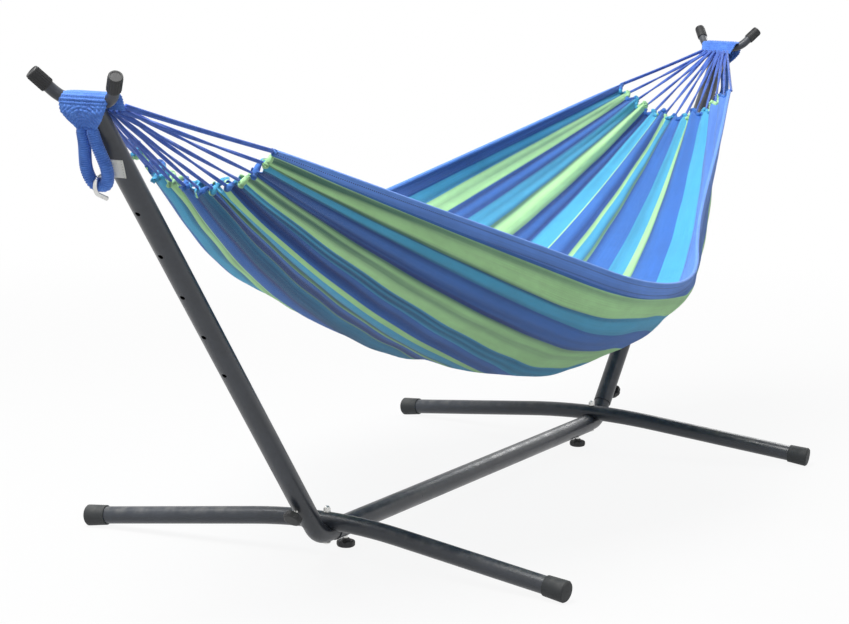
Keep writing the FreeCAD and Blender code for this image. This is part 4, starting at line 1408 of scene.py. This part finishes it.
@dataclass
class ClewCords:
    """The cords that fan from the clew band to the end hem."""

    sling: Sling
    end: End
    diameter: float = 0.007
    start_reach: float = 1.470
    start_half: float = 0.036
    start_height: float = 0.988
    stagger: float = 0.004
    stop_reach: float = 1.178
    row_rise: float = 0.080
    sag: float = 0.0015
    pitch: float = 0.34
    step: float = 0.003
    closing_fade: float = 0.10
    tip: float = 0.05
    body: str = "hammock"

    def route(self, number: int) -> Array:
        """Control points of one taut cord, from the band to its gather, with the slightest sag.

        Args:
            number: which cord, counted across the row from one edge to the other.

        Returns:
            (4, 3) control points.
        """
        across = 2 * number / (self.sling.cords - 1) - 1
        start = np.array([self.start_reach, self.start_half * across,
                          self.start_height + self.stagger * (-1) ** number])
        half, drop = self.sling.half_row, self.row_rise
        radius = (half ** 2 + drop ** 2) / (2 * drop)
        angle = math.asin(half / radius) * across
        stop = np.array([self.stop_reach, radius * math.sin(angle),
                         self.sling.row_height - drop + radius - radius * math.cos(angle)])
        shares = np.array([0.0, 0.33, 0.67, 1.0])[:, None]
        points = start + (stop - start) * shares
        points[1:3, 2] -= self.sag
        points[:, 0] *= self.end.value
        return points

    def build(self, wardrobe: Wardrobe) -> list[bpy.types.Object]:
        """Makes every cord as a twisted pair of thin strands along its own spline.

        A section's radius is r * (0.46 + 0.54 |cos(angle - twist)|), and the twist grows with the distance
        along the cord.  The cords at the two edges are broader and hardly twisted, and all are fuller where
        they crowd together at the band.

        Args:
            wardrobe: the materials.

        Returns:
            The cords.
        """
        turn = ring_angles(18)
        pieces = []
        for number in range(self.sling.cords):
            line = spline_through(self.route(number))
            path = resampled(line, self.step)
            along = measured(path)
            edge = number in (0, self.sling.cords - 1)
            twist = along[:, None] * 2 * np.pi / self.pitch * (0.12 if edge else 1.0) + number
            broad = 1.45 if edge else 1.0
            radius = self.diameter / 2 * (0.46 + 0.54 * broad * np.abs(np.cos(turn[None, :] - twist)))
            closing = 1 + (0.30 if edge else 0.75) * np.exp(-along / self.closing_fade)[:, None]
            closing[0] = closing[-1] = self.tip
            grid = tube_grid(path, path_axes(path, ACROSS), radius * closing)
            surface = Surface.of_grid(grid, lattice(along, turn * self.diameter / 2), closed=True)
            name = f"clew_cord_{self.end.label}_{number:02d}"
            piece = make_piece(name, surface, self.body, wardrobe.cord)
            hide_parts(f"clew_cords_{self.end.label}")
            pieces.append(piece)
        return pieces


# ---------------------------------------------------------------------------------------------- the clews
def rounded_run(corners: Array, radii: Sequence[float], step: float = 0.0015) -> Array:
    """Points of a flat run whose corners are rounded by tangent arcs.

    Args:
        corners: (n, 2) corner points.
        radii: the arc's radius at each inner corner.
        step: spacing of the points.

    Returns:
        (m, 2) points, evenly spaced.
    """
    pieces = [corners[:1]]
    for before, corner, after, radius in zip(corners, corners[1:], corners[2:], radii):
        inward, outward = unit(before - corner), unit(after - corner)
        half = math.acos(float(np.clip(inward @ outward, -1, 1))) / 2
        centre = corner + unit(inward + outward) * radius / math.sin(half)
        first = corner + inward * radius / math.tan(half) - centre
        last = corner + outward * radius / math.tan(half) - centre
        share = np.linspace(0.0, 1.0, 24)[:, None]
        sweep = math.pi - 2 * half
        arc = (np.sin((1 - share) * sweep) * first + np.sin(share * sweep) * last) / math.sin(sweep)
        pieces.append(centre + arc)
    pieces.append(corners[-1:])
    run = np.concatenate(pieces)
    flat = np.c_[run, np.zeros(len(run))]
    return resampled(flat, step)[:, :2]


@dataclass
class Clew:
    """The crocheted band over the fork's bar and the wrapped loop that hangs from it."""

    end: End
    bar: tuple[float, float] = (1.5245, 0.9997)
    band_path: tuple[tuple[float, float], ...] = (
        (-0.0495, -0.0147), (-0.025, 0.0145), (0.0145, 0.0158), (0.0185, -0.018), (0.003, -0.048))
    band_bend: float = 0.012
    band_thickness: float = 0.008
    row_pitch: float = 0.0062
    stitch_pitch: float = 0.0050
    relief: float = 0.0026
    neck_back: float = 0.004
    neck_span: tuple[float, float] = (0.052, 0.040)
    row_shift: float = 1.6
    ring_stitches: int = 11
    loop_root: tuple[float, float] = (1.5275, 0.9517)
    loop_bottom: tuple[float, float] = (1.4882, 0.8523)
    strand: float = 0.0115
    wrap_pitch: float = 0.0043
    tag_half: float = 0.0004
    tag_drop: float = 0.006
    tag_flat: tuple[float, float] = (0.034, 0.031)
    body: str = "stand"

    def band(self, wardrobe: Wardrobe) -> bpy.types.Object:
        """A closed slab along the band's run whose faces are rows of crochet.

        Rows are raised by |sin| of the distance along the run, broken into stitches by |sin| of the
        distance across; below the bar the rows turn into rings round the neck of the loop.

        Args:
            wardrobe: the materials.

        Returns:
            The piece.
        """
        run = rounded_run(np.array(self.band_path), [self.band_bend] * 3)
        along = measured(np.c_[run, np.zeros(len(run))])
        total = along[-1]
        path = np.c_[run[:, 0] + self.bar[0], np.zeros(len(run)), run[:, 1] + self.bar[1]]
        tangent = unit(np.gradient(path, axis=0))
        normal = np.cross(tangent, np.array(ACROSS))
        share = np.linspace(-1.0, 1.0, 121)
        width = self.half_width(along / total)[:, None] * share[None, :]
        down = along[:, None]
        neck = total - self.neck_back
        ring = np.hypot(neck - down, width * 0.95)
        lower = smooth_step(total - self.neck_span[0], total - self.neck_span[1], down)
        rows = self.loops(down) * (1 - lower) + self.loops(ring) * lower
        bearing = np.arctan2(width, np.maximum(neck - down, 0.001))
        shift = np.floor(down / self.row_pitch) * self.row_shift
        ring_shift = np.floor(ring / self.row_pitch) * self.row_shift
        stitch_top = np.abs(np.sin(np.pi * width / self.stitch_pitch + shift))
        stitch_ring = np.abs(np.sin(bearing * self.ring_stitches + ring_shift))
        stitch = stitch_top * (1 - lower) + stitch_ring * lower
        relief = self.relief * rows * (0.35 + 0.65 * stitch) - 0.0010
        edge = np.sqrt(np.clip(1 - np.abs(share) ** 8, 0, 1))[None, :]
        ends = np.sqrt(np.clip(1 - np.abs(2 * along / total - 1) ** 26, 0, 1))[:, None]
        depth = (self.band_thickness / 2 - 0.0012 + relief) * edge * ends
        wobble = 1 + 0.02 * np.sin(along * 2 * np.pi / self.row_pitch)[:, None]
        spine = path[:, None] + np.array(ACROSS) * (width * wobble)[..., None]
        rise = normal[:, None] * depth[..., None]
        uv = np.stack([np.broadcast_to(down, width.shape), width], axis=2)
        surface = Surface.of_faces(self.end.turned(spine + rise), self.end.turned(spine - rise), uv, ends=False)
        piece = make_piece(f"crochet_band_{self.end.label}", surface, self.body, wardrobe.yarn)
        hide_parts(f"clew_band_{self.end.label}")
        return piece

    def loops(self, distance: Array) -> Array:
        """Rows of crochet: |sin| of the distance, one row to a pitch."""
        return np.abs(np.sin(np.pi * distance / self.row_pitch))

    def half_width(self, share: Array) -> Array:
        """Half the band's width: tucked in at the cords, full over the bar, tapering to the loop's neck.

        Args:
            share: (n,) shares of the band's run.

        Returns:
            (n,) half widths.
        """
        marks = np.array([0.0, 0.18, 0.30, 0.62, 0.74, 0.86, 0.95, 1.0])
        widths = np.array([0.043, 0.049, 0.0515, 0.0515, 0.047, 0.036, 0.024, 0.021])
        return np.interp(share, marks, widths)

    def loop_line(self) -> Array:
        """The loop's centreline in its own plane: down one side, round, and up the other.

        Returns:
            (n, 3) control points of the far end.
        """
        root, bottom = np.array(self.loop_root), np.array(self.loop_bottom)
        drop = float(np.linalg.norm(root - bottom))
        half = np.array([(0.0108, 0.006), (0.0112, -0.18 * drop), (0.0170, -0.42 * drop),
                         (0.0235, -0.72 * drop), (0.0150, -0.985 * drop), (0.0, -drop)])
        outline = np.concatenate([half, half[-2::-1] * np.array([-1.0, 1.0])])
        upward = np.array([root[0] - bottom[0], 0.0, root[1] - bottom[1]]) / drop
        top = np.array([root[0], 0.0, root[1]])
        return top + outline[:, :1] * np.array(ACROSS) + outline[:, 1:] * upward

    def loop(self, wardrobe: Wardrobe) -> bpy.types.Object:
        """A strand bound by cord all the way round: its radius is r * (0.85 + 0.16 |sin(pi s / pitch)|).

        Args:
            wardrobe: the materials.

        Returns:
            The piece.
        """
        line = resampled(spline_through(self.loop_line()), 0.0008)
        along = measured(line)
        root, bottom = self.loop_root, self.loop_bottom
        side = np.array([root[1] - bottom[1], 0.0, bottom[0] - root[0]])
        turn = ring_angles(28)
        wraps = np.abs(np.sin(np.pi * (along[:, None] + 0.0009 * np.sin(turn)[None, :]) / self.wrap_pitch))
        ends = np.sqrt(np.clip(1 - np.abs(2 * along / along[-1] - 1) ** 40, 0.0, 1.0))[:, None]
        grid = tube_grid(line, path_axes(line, unit(side)), self.strand * (0.85 + 0.16 * wraps) * ends)
        surface = Surface.of_grid(self.end.turned(grid), lattice(along, turn * self.strand), closed=True)
        piece = make_piece(f"wrapped_loop_{self.end.label}", surface, self.body, wardrobe.yarn)
        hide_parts(f"hanging_loop_{self.end.label}")
        return piece

    def tag(self, wardrobe: Wardrobe) -> bpy.types.Object:
        """A blank folded tape, curling a little towards its free end, in the place of its solid.

        Args:
            wardrobe: the materials.

        Returns:
            The piece.
        """
        low, high = (np.array(corner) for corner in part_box(f"tag_{self.end.label}"))
        low[2], high[2] = low[2] - self.tag_drop, high[2] - self.tag_drop
        rise = np.linspace(0.0, 1.0, 30)
        side = np.linspace(0.0, 1.0, 26)
        level = lattice(low[2] + (high[2] - low[2]) * rise, low[1] + (high[1] - low[1]) * side)
        lean = (high[0] - low[0] - 0.0012) * self.end.value
        curl = 0.0016 * np.sin(3.0 * side[None, :] + 2.0 * rise[:, None])
        x = (low[0] + high[0]) / 2 + lean * (rise[:, None] - 0.5) + curl
        sheet = np.stack([x, level[..., 1], level[..., 0]], axis=2)
        offset = cloth_normals(sheet) * self.tag_half
        uv = lattice(rise * self.tag_flat[0], side * self.tag_flat[1])
        surface = Surface.of_faces(sheet + offset, sheet - offset, uv)
        piece = make_piece(f"cloth_tag_{self.end.label}", surface, self.body, wardrobe.tag)
        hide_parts(f"tag_{self.end.label}")
        return piece


# ---------------------------------------------------------------------------------------------- the studio
@dataclass
class Studio:
    """Camera, pale floor, even backdrop light and lamps; angles are radians and the lens millimetres."""

    eye: tuple[float, float, float] = (-4.869, -2.429, 1.302)
    heading: float = 0.471
    tilt: float = 0.164
    roll: float = 0.025
    lens: float = 100.17
    shift: tuple[float, float] = (-0.0390, 0.0153)
    sensor: float = 36.0
    floor_half: float = 90.0
    floor_tones: tuple[float, float] = (0.56, 0.60)
    ambient: float = 0.31

    def camera(self) -> bpy.types.Object:
        """The camera: forward from heading and tilt, then rolled about that line.

        Returns:
            The camera.
        """
        forward = np.array([math.cos(self.tilt) * math.cos(self.heading),
                            math.cos(self.tilt) * math.sin(self.heading), -math.sin(self.tilt)])
        level = np.array([math.sin(self.heading), -math.cos(self.heading), 0.0])
        upward = np.cross(level, forward)
        right = math.cos(self.roll) * level + math.sin(self.roll) * upward
        upward = -math.sin(self.roll) * level + math.cos(self.roll) * upward
        data = bpy.data.cameras.new("camera")
        data.lens = self.lens
        data.sensor_width = self.sensor
        data.shift_x, data.shift_y = self.shift
        data.clip_end = 300.0
        holder = bpy.data.objects.new("camera", data)
        columns = np.stack([right, upward, -forward], axis=1)
        holder.matrix_world = Matrix.Translation(Vector(self.eye)) @ Matrix(columns.tolist()).to_4x4()
        bpy.context.scene.collection.objects.link(holder)
        bpy.context.scene.camera = holder
        return holder

    def floor(self) -> bpy.types.Object:
        """A wide pale floor that keeps the object's shadow and fades to white far away.

        Returns:
            The floor.
        """
        material = bpy.data.materials.new("studio_floor")
        tree = Tree.cleared(material)
        shader = tree.add("ShaderNodeBsdfPrincipled")
        shader.inputs["Roughness"].default_value = 0.9
        shader.inputs["Specular IOR Level"].default_value = 0.1
        coordinates = tree.add("ShaderNodeTexCoord")
        grain = tree.noise(coordinates.outputs["Object"], 30.0, 4.0)
        dark, pale = ((tone,) * 3 for tone in self.floor_tones)
        tree.feed(shader.inputs["Base Color"], tree.mix(grain, dark, pale))
        white = tree.add("ShaderNodeEmission")
        distance = tree.add("ShaderNodeVectorMath", operation="LENGTH")
        tree.feed(distance.inputs[0], coordinates.outputs["Object"])
        far = tree.ranged(distance.outputs["Value"], 1.6, 4.5, 0.91, 1.0)
        path = tree.add("ShaderNodeLightPath")
        seen = tree.math("MAXIMUM", path.outputs["Is Camera Ray"], path.outputs["Is Glossy Ray"])
        seen = tree.math("MAXIMUM", seen, path.outputs["Is Transmission Ray"])
        tree.blended(tree.math("MULTIPLY", far, seen), shader, white, "ShaderNodeOutputMaterial")
        corners = np.array([[[-1.0, -1.0, 0.0], [1.0, -1.0, 0.0]], [[-1.0, 1.0, 0.0], [1.0, 1.0, 0.0]]])
        mesh = bpy.data.meshes.new("studio_floor")
        corners = corners.reshape(-1, 3) * self.floor_half
        mesh.from_pydata(corners.tolist(), [], [[0, 1, 3, 2]])
        mesh.materials.append(material)
        ground = bpy.data.objects.new("studio_floor", mesh)
        bpy.context.scene.collection.objects.link(ground)
        return ground

    def world(self) -> None:
        """Even grey light all round, seen as white by the camera and in reflections."""
        world = bpy.data.worlds.new("studio")
        tree = Tree.cleared(world)
        ambient = tree.add("ShaderNodeBackground")
        ambient.inputs["Color"].default_value = (0.95, 0.97, 1.0, 1.0)
        ambient.inputs["Strength"].default_value = self.ambient
        white = tree.add("ShaderNodeBackground")
        white.inputs["Color"].default_value = (1.0, 1.0, 1.0, 1.0)
        path = tree.add("ShaderNodeLightPath")
        seen = tree.math("MAXIMUM", path.outputs["Is Camera Ray"], path.outputs["Is Glossy Ray"])
        tree.blended(seen, ambient, white, "ShaderNodeOutputWorld")
        bpy.context.scene.world = world

    def lamp(self, name: str, place: Sequence[float], size: float, power: float,
             colour: Rgb = (1.0, 1.0, 1.0)) -> bpy.types.Object:
        """A square area lamp that looks at the middle of the object.

        Args:
            name: the lamp's name.
            place: where it stands.
            size: its side.
            power: its power in watts.
            colour: its colour.

        Returns:
            The lamp.
        """
        data = bpy.data.lights.new(name, "AREA")
        data.size = size
        data.energy = power
        data.color = colour
        holder = bpy.data.objects.new(name, data)
        target = Vector((0.0, 0.0, 0.5))
        holder.location = Vector(place)
        holder.rotation_euler = (target - Vector(place)).to_track_quat("-Z", "Y").to_euler()
        holder.visible_camera = False
        bpy.context.scene.collection.objects.link(holder)
        return holder

    def build(self) -> None:
        """Sets up the floor, the world and the lamps."""
        self.floor()
        self.world()
        self.lamp("key", (-1.6, 0.8, 4.6), 2.6, 312.0, (1.0, 0.995, 0.985))
        self.lamp("side", (-4.0, -4.2, 2.6), 2.2, 14.0)
        self.lamp("rim", (3.6, 0.2, 2.1), 1.2, 36.0)
        bpy.context.scene.view_settings.view_transform = "Standard"


def main() -> None:
    """Builds the camera, the cords, the soft pieces and the stand's finishes, in that order."""
    logging.basicConfig(level=logging.INFO, format="%(name)s: %(message)s")
    studio = Studio()
    studio.camera()
    wardrobe = Wardrobe()
    sling = Sling()
    for end in End:
        LOG.info("%d cords at the %s end", len(ClewCords(sling, end).build(wardrobe)), end.label)
    shape = Bed(sling)
    bed = shape.build(wardrobe)
    LOG.info("%s with %d faces", bed.name, len(bed.data.polygons))
    hems = [SideHem(shape, side).build(wardrobe) for side in Side]
    for hem in hems:
        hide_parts("side_hems")
    hems += [EndHem(shape, end).build(wardrobe) for end in End]
    for end in End:
        clew = Clew(end)
        for piece in (clew.band(wardrobe), clew.loop(wardrobe), clew.tag(wardrobe)):
            LOG.info("%s with %d faces", piece.name, len(piece.data.polygons))
    LOG.info("%d solids dressed", Stand().dress(wardrobe))
    studio.build()


if __name__ == "__main__":
    main()
